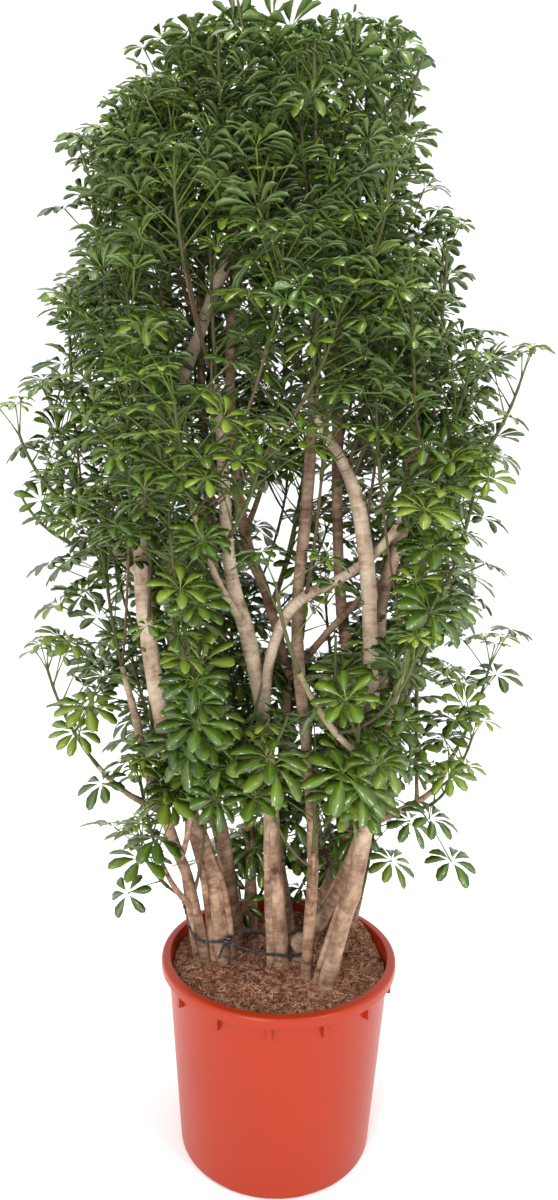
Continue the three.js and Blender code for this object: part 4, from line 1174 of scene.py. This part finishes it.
def leaf_at(line, t, turn, lean, petiole, shoot, k):
    """A leaf's place: its root in the shoot, its hub at the petiole's end, and the way that it faces."""
    root, tangent = line["curve"](t), heading_at(line["curve"], t)
    across = unit(np.array([1.0, 0, 0]) - tangent * tangent[0])
    out = across * math.cos(turn) + np.cross(tangent, across) * math.sin(turn)
    stalk = unit(tangent * math.cos(lean) + out * math.sin(lean) + UP * PETIOLE_RISE)
    normal = unit(UP * LEAF_UP + stalk * LEAF_AHEAD)
    return {"root": root, "hub": root + stalk * petiole, "normal": normal,
            "ahead": unit(stalk - normal * (stalk @ normal)), "leaflets": 7 + int(3 * draw(shoot, k, 8)),
            "length": vary(LEAFLET_LENGTH, 0.12, shoot, k, 9), "droop": vary(DROOP, 0.35, shoot, k, 10),
            "arch": LEAFLET_ARCH, "slim": 1.0, "youth": 0.0, "key": 50 * shoot + k}


def leaf_plan(line, shoot, k, attempt):
    """The place of one of the frame's leaves at an attempt."""
    side_at = SIDE_LEAVES_AT - SIDE_LEAVES_SPAN * (k - 1) / (LEAVES_A_SHOOT - 1) - ATTEMPT_BACK * attempt
    t = side_at if k else TOP_LEAF_AT
    turn = k * GOLDEN_ANGLE + 2 * math.pi * draw(shoot, 5) + ATTEMPT_TURN * attempt
    lean = vary(LEAN_SIDE, 0.16, shoot, k, attempt, 6) if k else LEAN_TOP
    share = 1 if k else TOP_PETIOLE_SHARE - ATTEMPT_SHORTER * attempt
    return leaf_at(line, t, turn, lean, share * vary(PETIOLE_LENGTH, 0.22, shoot, k, attempt, 7), shoot, k)


def frame_leaves(line, shoot, node):
    """The leaves that a node of the frame holds: those plans whose hub is one of its points."""
    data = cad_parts[node].data
    corners = np.empty(3 * len(data.vertices), np.float32)
    data.vertices.foreach_get("co", corners)
    corners = corners.reshape(-1, 3) / MM
    found = []
    for k in range(LEAVES_A_SHOOT):
        for attempt in range(LEAF_ATTEMPTS):
            plan = leaf_plan(line, shoot, k, attempt)
            hub_top = plan["hub"] + plan["normal"] * HUB_TOP
            if np.linalg.norm(corners - hub_top, axis=1).min() < HUB_MISS:
                found.append(plan)
                break
    return found


box_low, box_high = np.array(cad_box[0]) / MM + ROOM_LOW, np.array(cad_box[1]) / MM - ROOM_HIGH


def fits(leaf):
    """Whether a leaf's tips and the middles of its leaflets stay inside the frame's box."""
    radial = ring_of(leaf["ahead"], np.cross(leaf["normal"], leaf["ahead"]), FIT_SIDES)
    droop = leaf["droop"]
    tips = FIT_REACH * leaf["length"] * (radial * math.cos(droop) - leaf["normal"] * math.sin(droop))
    lift = 0.27 * leaf["arch"] + 0.12 - 0.8 * min(0.0, math.sin(1.3 * droop))
    middles = leaf["length"] * (0.6 * radial + lift * leaf["normal"])
    spread = leaf["hub"] + np.vstack([tips, middles])
    return bool(((spread > box_low) & (spread < box_high)).all())


def in_photo(p):
    """A place's pixel: its offsets from the camera turned by the pitch, over the depth, turned by the roll."""
    x, y, z = p[0] - CAMERA_ASIDE, p[1] + CAMERA_BACK, p[2] - CAMERA_HEIGHT
    depth = y * math.cos(CAMERA_PITCH) - z * math.sin(CAMERA_PITCH)
    up = y * math.sin(CAMERA_PITCH) + z * math.cos(CAMERA_PITCH)
    u, v = FOCAL_PIXELS * x / depth, -FOCAL_PIXELS * up / depth
    c, s = math.cos(CAMERA_ROLL), math.sin(CAMERA_ROLL)
    return PHOTO_WIDTH / 2 + c * u - s * v, PHOTO_HEIGHT / 2 + s * u + c * v


def hides_bark(hub):
    """Whether a leaf stands before a stretch of bark that the photograph shows bare."""
    px, py = in_photo(hub)
    return hub[1] < WINDOW_FRONT and any(
        left - WINDOW_SIDE < px < right + WINDOW_SIDE and top - WINDOW_ABOVE < py < bottom + WINDOW_BELOW
        for left, top, right, bottom in BARK_WINDOWS)


def in_fill(p):
    """Whether a place is within the dense part of the crown: inside its edges where the line from the camera
    through it meets the plane y = 0, and within the crown's depth."""
    nearer = CAMERA_BACK / (CAMERA_BACK + p[1])
    x = CAMERA_ASIDE + (p[0] - CAMERA_ASIDE) * nearer
    left, right = edges_at(CAMERA_HEIGHT + (p[2] - CAMERA_HEIGHT) * nearer, FILL_EDGES)
    middle, half = crown_at(p[2])
    is_within = math.hypot((p[0] - middle) / half, p[1] / ((half - LEAF_INSET) * CROWN_DEPTH_SHARE)) < 1
    return left + FILL_INSET < x < right - FILL_INSET and is_within


def is_open(leaf):
    """Whether a leaf stands where the plant is open: below the crown's foot, where light shows between the
    stems or the crown is thin, outside its dense part, for most leaves, or above the photograph."""
    hub, key = leaf["hub"], leaf["key"]
    px, py = in_photo(hub)
    skirt = (SKIRT_HEIGHT - SKIRT_FALL * max(0.0, math.hypot(hub[0], hub[1]) - SKIRT_FALL_FROM)
             + SKIRT_UNEVEN * (draw(key, 41) - 0.5) - REAR_DROP * part_way(hub[1], REAR_FROM, REAR_TO))
    thinner = [(*LIGHT_WINDOW, LIGHT_SHARE, 42), *((*window, 44) for window in THINNED)]
    is_left_out = any(left < px < right and top < py < bottom and draw(key, seed) < share
                      for left, top, right, bottom, share, seed in thinner)
    is_outlier = not in_fill(hub) and draw(key, 43) > OUTLIER_SHARE
    return hub[2] < skirt or is_left_out or is_outlier or py < PHOTO_TOP


def settle(leaf, shoot, k, young):
    """Gives an added leaf the size, tilt and tone of its height: smaller, slimmer, flatter and fresher
    towards the top, and limp, with fewer leaflets, low down."""
    height = leaf["hub"][2]
    leaf["length"] *= vary(np.interp(height, *SIZE_BY_HEIGHT.T), 0.22, shoot, k, 58)
    leaf["slim"] = np.interp(height, *SLIM_BY_HEIGHT.T)
    limp = float(part_way(height, LIMP_BELOW, LIMP_FULLY_BELOW))
    stray = (0.62 + 0.5 * limp) * (np.array([draw(shoot, k, key) for key in (51, 52, 53)]) - 0.5)
    leaf["leaflets"] -= int(limp * (0.6 + 2.2 * draw(shoot, k, 59)))
    leaf["normal"] = unit(UP * ADDED_UP + leaf["ahead"] * ADDED_AHEAD + stray)
    leaf["ahead"] = unit(leaf["ahead"] - leaf["normal"] * (leaf["ahead"] @ leaf["normal"]))
    leaf["droop"] = np.interp(height, *DROOP_BY_HEIGHT.T) + 0.5 * (draw(shoot, k, 54) - 0.5)
    leaf["arch"] = vary(ADDED_ARCH, 0.4, shoot, k, 55)
    fresh = part_way(height, FRESH_FROM, FRESH_TO) * draw(shoot, 56)
    is_fresh = draw(shoot, 57) > FRESH_DRAW and height > FRESH_LEAST
    leaf["youth"] = float(np.clip(0.5 * young - 0.25 + 0.4 * fresh + 0.5 * is_fresh, 0, 1))


def more_leaves(line, shoot, count, bottom, low_reach=0):
    """More leaves on a shoot, from its end to its bottom share: of several turns for each, the one whose hub
    is furthest from the others, kept if it fits, hides no bare bark, and stands in the crown where that isn't
    open. With a low reach, it has to stand within that reach of the axis instead, and higher the further out
    it is."""
    found = []
    for j in range(count):
        k = LEAVES_A_SHOOT + j
        best, widest = None, HUB_SPACING
        for attempt in range(MORE_ATTEMPTS):
            t = 1 + (bottom - 1) * (j + draw(shoot, k, attempt, 11)) / count
            turn = k * GOLDEN_ANGLE + 2 * math.pi * draw(shoot, 5) + ADDED_TURN * attempt
            young = 1 - (1 - t) / (1 - bottom)
            lean = vary(ADDED_LEAN - ADDED_LEAN_CUT * young, 0.22, shoot, k, attempt, 6)
            petiole = vary(ADDED_PETIOLE_LENGTH - ADDED_PETIOLE_CUT * young, 0.32, shoot, k, attempt, 7)
            leaf = leaf_at(line, t, turn, lean, petiole, shoot, k)
            settle(leaf, shoot, k, young)
            x, y, z = leaf["hub"]
            off_axis = math.hypot(x, y)
            if low_reach:
                lowest = LOW_LEAST + LOW_RISE * max(0.0, off_axis - LOW_RISE_FROM)
                is_kept = z > lowest and off_axis < low_reach
            else:
                is_kept = belongs(leaf["hub"]) and not is_open(leaf)
            if not is_kept or hides_bark(leaf["hub"]):
                continue
            apart = np.linalg.norm(np.array(hubs) - leaf["hub"], axis=1).min()
            if apart > widest and fits(leaf):
                best, widest = leaf, apart
        if best:
            found.append(best)
            hubs.append(best["hub"])
    return found


def young_leaves(line, shoot):
    """The small pale leaves just opening at a shoot's end, on short petioles that stand up."""
    found = []
    for j in range(YOUNG_LEAVES):
        k = YOUNG_KEY + j
        turn = YOUNG_TURN * j + 2 * math.pi * draw(shoot, 12)
        lean, petiole = vary(YOUNG_LEAN, 0.4, shoot, k), vary(YOUNG_PETIOLE, 0.3, shoot, k, 1)
        leaf = leaf_at(line, YOUNG_AT, turn, lean, petiole, shoot, k)
        leaf.update(length=vary(YOUNG_LENGTH, 0.25, shoot, k, 2), droop=vary(YOUNG_DROOP, 0.9, shoot, k, 3),
                    leaflets=6 + int(2 * draw(shoot, k, 4)), youth=1.0)
        if fits(leaf) and not hides_bark(leaf["hub"]) and in_photo(leaf["hub"])[1] > PHOTO_TOP:
            found.append(leaf)
    return found


def blades(leaves):
    """The leaflets of many leaves. At share u of its length and v of its half width, a leaflet's point is
    x = reach cos(droop) u outwards, y = half f(u) v + bend u squared sideways, and upwards z = arch u (1 - u)
    - reach sin(droop) u + fold |y|. Past the leaflet's own stalk, f rises as u to the 1.5 and falls as
    (1 - u) to the 0.6."""
    count = np.array([leaf["leaflets"] for leaf in leaves])
    owner = np.repeat(np.arange(len(leaves)), count)
    order = np.concatenate([np.arange(n) for n in count])
    key, hub, normal, ahead, length, droop, arch, slim, youth = (
        np.array([leaf[word] for leaf in leaves])[owner]
        for word in ("key", "hub", "normal", "ahead", "length", "droop", "arch", "slim", "youth"))
    azimuth = (order + 0.28 * (draw(key, order, 21) - 0.5)) * 2 * np.pi / count[owner]
    side = np.cross(normal, ahead)
    c, s = np.cos(azimuth)[:, None], np.sin(azimuth)[:, None]
    radial, beside = ahead * c + side * s, side * c - ahead * s
    reach = length * (1 - BACK_LEAFLET_CUT * np.abs(np.sin(azimuth / 2))) * vary(0.97, 0.06, key, order, 22)
    droop = droop * vary(1, 0.28, key, order, 23)
    half = LEAFLET_HALF_WIDTH * length * slim * vary(1, 0.10, key, order, 24)
    roll, bend = 0.5 * (draw(key, order, 25) - 0.5), 0.12 * (draw(key, order, 26) - 0.5) * length
    phase = 6.3 * draw(key, order, 27)
    fold = vary(LEAFLET_FOLD, 0.5, key, 28)

    rows, columns = len(BLADE_ALONG), len(BLADE_ACROSS)
    u, v = np.meshgrid(BLADE_ALONG, BLADE_ACROSS, indexing="ij")
    u = np.concatenate([[0], u.ravel(), [1], BLADE_ALONG])
    v = np.concatenate([[0], v.ravel(), [0], 0 * BLADE_ALONG])
    sink = np.concatenate([np.zeros(2 + rows * columns), np.full(rows, BLADE_THICKNESS)])
    past = np.clip((u - LEAFLET_STALK) / (1 - LEAFLET_STALK), 0, 1)
    width = past**1.5 * (1 - past) ** 0.6 / BLADE_WIDEST
    flat = half[:, None] * width * v
    wave = LEAFLET_WAVE * length[:, None] * np.sin(LEAFLET_WAVES * u + phase[:, None]) * np.abs(v) * width
    z = ((-reach * np.sin(droop))[:, None] * u + (arch * length)[:, None] * u * (1 - u)
         + fold[:, None] * np.abs(flat) + wave + flat * np.sin(roll)[:, None] - sink)
    x = (reach * np.cos(droop))[:, None] * u
    y = flat * np.cos(roll)[:, None] + bend[:, None] * u * u
    points = (hub[:, None] + x[..., None] * radial[:, None] + y[..., None] * beside[:, None]
              + z[..., None] * normal[:, None])

    grid = 1 + np.arange(rows * columns).reshape(rows, columns)
    tip, under = 1 + rows * columns, 2 + rows * columns + np.arange(rows)
    left, right = grid[:, 0], grid[:, -1]
    quads = [np.stack(corners, -1).reshape(-1, 4) for corners in (
        [grid[:-1, :-1], grid[1:, :-1], grid[1:, 1:], grid[:-1, 1:]],
        [left[:-1], under[:-1], under[1:], left[1:]],
        [under[:-1], right[:-1], right[1:], under[1:]])]
    foot, end = np.zeros(columns - 1, int), np.full(columns - 1, tip)
    top_fans = [np.stack(corners, -1) for corners in (
        [foot, grid[0, :-1], grid[0, 1:]], [grid[-1, :-1], end, grid[-1, 1:]])]
    below_fans = [[0, under[0], left[0]], [0, right[0], under[0]], [left[-1], under[-1], tip],
                  [under[-1], right[-1], tip]]
    first = len(u) * np.arange(len(points))[:, None, None]
    parts = [quads[0], np.concatenate(top_fans), np.concatenate(quads[1:]), np.array(below_fans)]
    faces = [(first + part).reshape(-1, part.shape[1]) for part in parts]
    marks = [np.full(len(block_faces), mark) for block_faces, mark in zip(faces, (0, 0, 1, 1))]
    blade = np.broadcast_to(np.stack([v, u, 0 * u], -1), points.shape).reshape(-1, 3)
    tone = np.stack([youth, draw(key, 29), draw(key, order, 30)], -1)
    return points.reshape(-1, 3), faces, blade, np.repeat(tone, len(u), axis=0), np.concatenate(marks)


def stalk_fields(points, faces, word, tone):
    """The fields of stalks: the middle of a blade, the word for their sort, their tone, and no underside."""
    blade = np.tile([[0, 0.5, word]], (len(points), 1))
    return points, faces, blade, tone, np.zeros(sum(len(part) for part in faces))


def petioles(leaves):
    """The leaves' stalks: thin bars from root to hub that arch a little, widest at the foot and the hub."""
    root, hub = (np.array([leaf[word] for leaf in leaves]) for word in ("root", "hub"))
    sag = -PETIOLE_ARCH * np.linalg.norm(hub - root, axis=1)[:, None] * UP
    points, faces = arched_bars(root, hub - root - sag, sag, PETIOLE_SHAPE, PETIOLE_SIDES)
    tone = np.array([[leaf["youth"], draw(leaf["key"], 29), 0.5] for leaf in leaves])
    return stalk_fields(points, faces, WORD_PETIOLE, np.repeat(tone, len(points) // len(leaves), axis=0))


def stalk(line, sides, word):
    """A green shoot or a thin twig: a closed bar along its line, with slight nodes where leaves grew."""
    t = np.linspace(0, 1, max(5, round(line["length"] / STALK_STEP)))
    widths = STALK_SHARE * line["radius"](t) * (1 + 0.12 * np.sin(t * line["length"] / (STALK_STEP / 2)))
    points, faces = round_bar(line["curve"](t), widths, sides)
    return stalk_fields(points, faces, word, np.tile([[0, 0.5, 0.5]], (len(points), 1)))


def leafy_piece(name, leaves, stalks, *nodes):
    """One leafy shoot as a piece: its stalks, petioles and leaflets joined in one mesh."""
    parts = [*stalks, petioles(leaves), blades(leaves)] if leaves else stalks
    blade, tone, underside = (np.concatenate([part[k] for part in parts]) for k in (2, 3, 4))
    points, faces = joined([part[:2] for part in parts])
    piece = put_mesh(name, points, faces, {"blade": blade, "tone": tone}, {"underside": underside})
    finish_piece(piece, foliage, "foliage", *nodes)


def foliage_material():
    """Glossy leaf: dark to mid green by leaf, paler and yellower when young, with a pale rib, faint side
    veins and a dull light underside; petioles pale green, shoots green-brown, twigs brown, and all of these
    dull."""
    make = Material("foliage")
    blade = make.parts(make.attribute("blade"))
    tone = make.parts(make.attribute("tone"))
    underside = make.attribute("underside", "Fac")
    place = make.place()
    clouds = make.noise(place, 5, 2)
    mottle = make.noise(place, 90, 3)
    off_rib = make.math("ABSOLUTE", blade["X"])
    leaf_value = make.math("MULTIPLY_ADD", tone["Y"], 0.62, make.math("MULTIPLY", tone["Z"], 0.20))
    value = make.math("MULTIPLY_ADD", clouds, 0.55, leaf_value)
    mature = make.ramp(value, *zip((0.22, 0.62, 1.0), LEAF_GREENS))
    fresh = make.ramp(value, *zip((0.25, 0.95), FRESH_GREENS))
    green = make.mix(tone["X"], mature, fresh)
    slant = make.math("MULTIPLY_ADD", off_rib, -1.1, make.math("MULTIPLY", blade["Y"], 3.2))
    comb = make.math("SINE", make.math("MULTIPLY", slant, 19))
    veined = make.mix(make.spread(comb, 0.0, 0.22, 0.80, 1.0), green, VEIN_GREEN)
    ribbed = make.mix(make.spread(off_rib, 0.42, 0.0, 0.03, 0.13), veined, RIB_GREEN)
    either = make.mix(underside, ribbed, make.mix(0.62, ribbed, UNDERSIDE_GREEN))
    leaf = make.mix(make.spread(blade["Y"], 0.85, 0.0, 0.05, 0.20), either, FOOT_GREEN)
    sort = make.math("MULTIPLY", blade["Z"], 1 / 3)
    stalks = make.ramp(sort, *zip((0.30, 0.60, 0.95), STALK_COLOURS))
    is_stalk = make.math("GREATER_THAN", blade["Z"], 0.5)
    leaf_gloss = make.math("MULTIPLY_ADD", underside, 0.3, make.spread(mottle, 0.14, 0.28))
    gloss = make.math("MULTIPLY_ADD", is_stalk, 0.35, leaf_gloss)
    sheen = make.math("MULTIPLY_ADD", is_stalk, -0.6, LEAF_SPECULAR)
    relief = make.bump(make.math("MULTIPLY_ADD", comb, 0.15, mottle), 0.22, 0.001)
    return make.surface(make.mix(is_stalk, leaf, stalks), gloss, sheen, relief)


def twig_to(tip):
    """The thin twig to a tip, from the place on the wood that costs least."""
    lines = all_wood(wood)
    centres = np.concatenate([line["stations"] for line in lines])
    radii = np.concatenate([line["station_radii"] for line in lines])
    k = cheapest(centres, tip, TWIG_RISE_BEST, TWIG_RISE_WEIGHT, TWIG_RISE_LEAST, TWIG_RISE_MOST)
    return branch_line(centres[k], tip, min(TWIG_BASE_SHARE * radii[k], TWIG_BASE_MOST), TWIG_TIP_RADIUS)


foliage = foliage_material()
own_leaves = [frame_leaves(line, i, f"leafy_shoot_{i + 1:02d}") for i, line in enumerate(shoots)]
placed_leaves = [leaf for found in own_leaves for leaf in found]
hubs = [leaf["hub"] for leaf in placed_leaves]
for leaf in placed_leaves:
    height = leaf["hub"][2]
    leaf["droop"] *= LIMP_DROOP if height < LIMP_BELOW else SOFTER_DROOP
    if hides_bark(leaf["hub"]):
        leaf["length"] *= BEFORE_BARK_SIZE
    elif height >= LARGE_BELOW:
        leaf["length"] *= HIGH_SIZE
    if not in_fill(leaf["hub"]):
        leaf["length"] *= OUTLIER_SIZE
    for attempt in range(FIT_ATTEMPTS):
        if fits(leaf):
            break
        leaf["droop"] += FIT_DROOP
        leaf["arch"] *= FIT_ARCH
        leaf["length"] *= FIT_LENGTH

twigs = []
for i, ends in enumerate(LOW_TWIGS):
    start, tip = np.array(ends, float)
    twig = branch_line(start, tip, LOW_TWIG_RADIUS, TWIG_TIP_RADIUS)
    twigs.append((twig, shoot_from(twig, LOW_SHOOT_KEY + i, LOW_SHOOT_LENGTH)))
for i in range(TWIG_COUNT):
    if i < len(SHOULDER_TIPS):
        choices = [np.array(SHOULDER_TIPS[i], float)]
    else:
        choices = [crown_point(BRANCH_TIPS + i, choice) for choice in range(TWIG_CHOICES)]
    above = [tip + UP * TWIG_LEAVES_ABOVE for tip in choices]
    choices = [tip for tip, high in zip(choices, above) if in_fill(high) and not hides_bark(high)]
    if not choices:
        continue
    taken = np.array([line["stations"][STATIONS // 2] for line in shoots + [twig[1] for twig in twigs]])
    tip = max(choices, key=lambda p: np.linalg.norm(taken - p - UP * TWIG_LEAVES_ABOVE, axis=1).min())
    twig = twig_to(tip)
    twigs.append((twig, shoot_from(twig, len(shoots) + i, TWIG_SHOOT_LENGTH)))

for i, line in enumerate(shoots):
    name = f"leafy_shoot_{i + 1:02d}"
    leaves = own_leaves[i] + more_leaves(line, i, MORE_LEAVES, SHOOT_BARE) + young_leaves(line, i)
    leafy_piece(name + "_leaves", leaves, [stalk(line, SHOOT_SIDES, WORD_SHOOT)], name)
for i, (twig, line) in enumerate(twigs):
    number = len(shoots) + i
    if i in SIDE_TWIGS:
        count, low_reach = LEAST_LEAVES, BESIDE_REACH
    elif i < len(LOW_TWIGS):
        count, low_reach = LOW_LEAVES, LOW_REACH
    else:
        count, low_reach = TWIG_LEAVES, 0
    leaves = more_leaves(line, number, count, TWIG_BARE, low_reach) + young_leaves(line, number)
    stalks = [stalk(twig, TWIG_SIDES, WORD_TWIG), stalk(line, TWIG_SIDES, WORD_SHOOT)]
    leafy_piece(f"leafy_twig_{i + 1:02d}", leaves, stalks)

# Studio. A wide pale floor, an even white surround, and three soft lamps: the strongest in front and above at
# the left, one at the right and one overhead. The camera stands where the photograph was taken from, with a
# lens worked out for the photograph's 1200-pixel height.
FLOOR_RADIUS = 30000
FLOOR_DEPTH = 12
FLOOR_GAP = 0.6
FLOOR_SIDES = 96
FLOOR_WHITE = (0.97, 0.97, 0.97, 1)
SURROUND = 1.2
SENSOR = 36

floor_points, floor_faces = turned(
    [(0, -FLOOR_DEPTH), (FLOOR_RADIUS, -FLOOR_DEPTH), (FLOOR_RADIUS, 0), (0, 0)], FLOOR_SIDES)
floor = put_mesh("studio_floor", floor_points - UP * FLOOR_GAP, floor_faces)
floor.data.materials.append(Material("studio_floor").surface(FLOOR_WHITE, 0.9, 0.1))
floor.data.shade_flat()

world = bpy.data.worlds.new("surround")
world.use_nodes = True
world.node_tree.nodes["Background"].inputs["Color"].default_value = (1, 1, 1, 1)
world.node_tree.nodes["Background"].inputs["Strength"].default_value = SURROUND
bpy.context.scene.world = world
bpy.context.scene.view_settings.view_transform = "Standard"


def lamp(name, place, target, size, power):
    """A square soft lamp that faces a point; places and size are metres, and power is watts."""
    light = bpy.data.lights.new(name, "AREA")
    light.size = size
    light.energy = power
    body = bpy.data.objects.new(name, light)
    back = unit(np.array(place, float) - target)
    right = unit(np.cross(UP, back))
    axes = np.column_stack([right, np.cross(back, right), back, place])
    body.matrix_world = Matrix(np.vstack([axes, [0, 0, 0, 1]]).tolist())
    bpy.context.scene.collection.objects.link(body)


lamp("key_lamp", (-1.4, -4.0, 2.3), (0, 0, 1.0), 1.2, 98)
lamp("side_lamp", (2.8, -2.8, 3.0), (0, 0, 1.1), 1.0, 60)
lamp("top_lamp", (0.0, 0.4, 4.4), (0, 0, 1.3), 1.2, 85)

camera_data = bpy.data.cameras.new("camera")
camera_data.sensor_width = SENSOR
camera_data.lens = SENSOR * FOCAL_PIXELS / PHOTO_HEIGHT
camera = bpy.data.objects.new("camera", camera_data)
camera.matrix_world = (
    Matrix.Translation((CAMERA_ASIDE * MM, -CAMERA_BACK * MM, CAMERA_HEIGHT * MM))
    @ Matrix.Rotation(math.pi / 2 - CAMERA_PITCH, 4, "X")
    @ Matrix.Rotation(CAMERA_ROLL, 4, "Z")
)
bpy.context.scene.collection.objects.link(camera)
bpy.context.scene.camera = camera
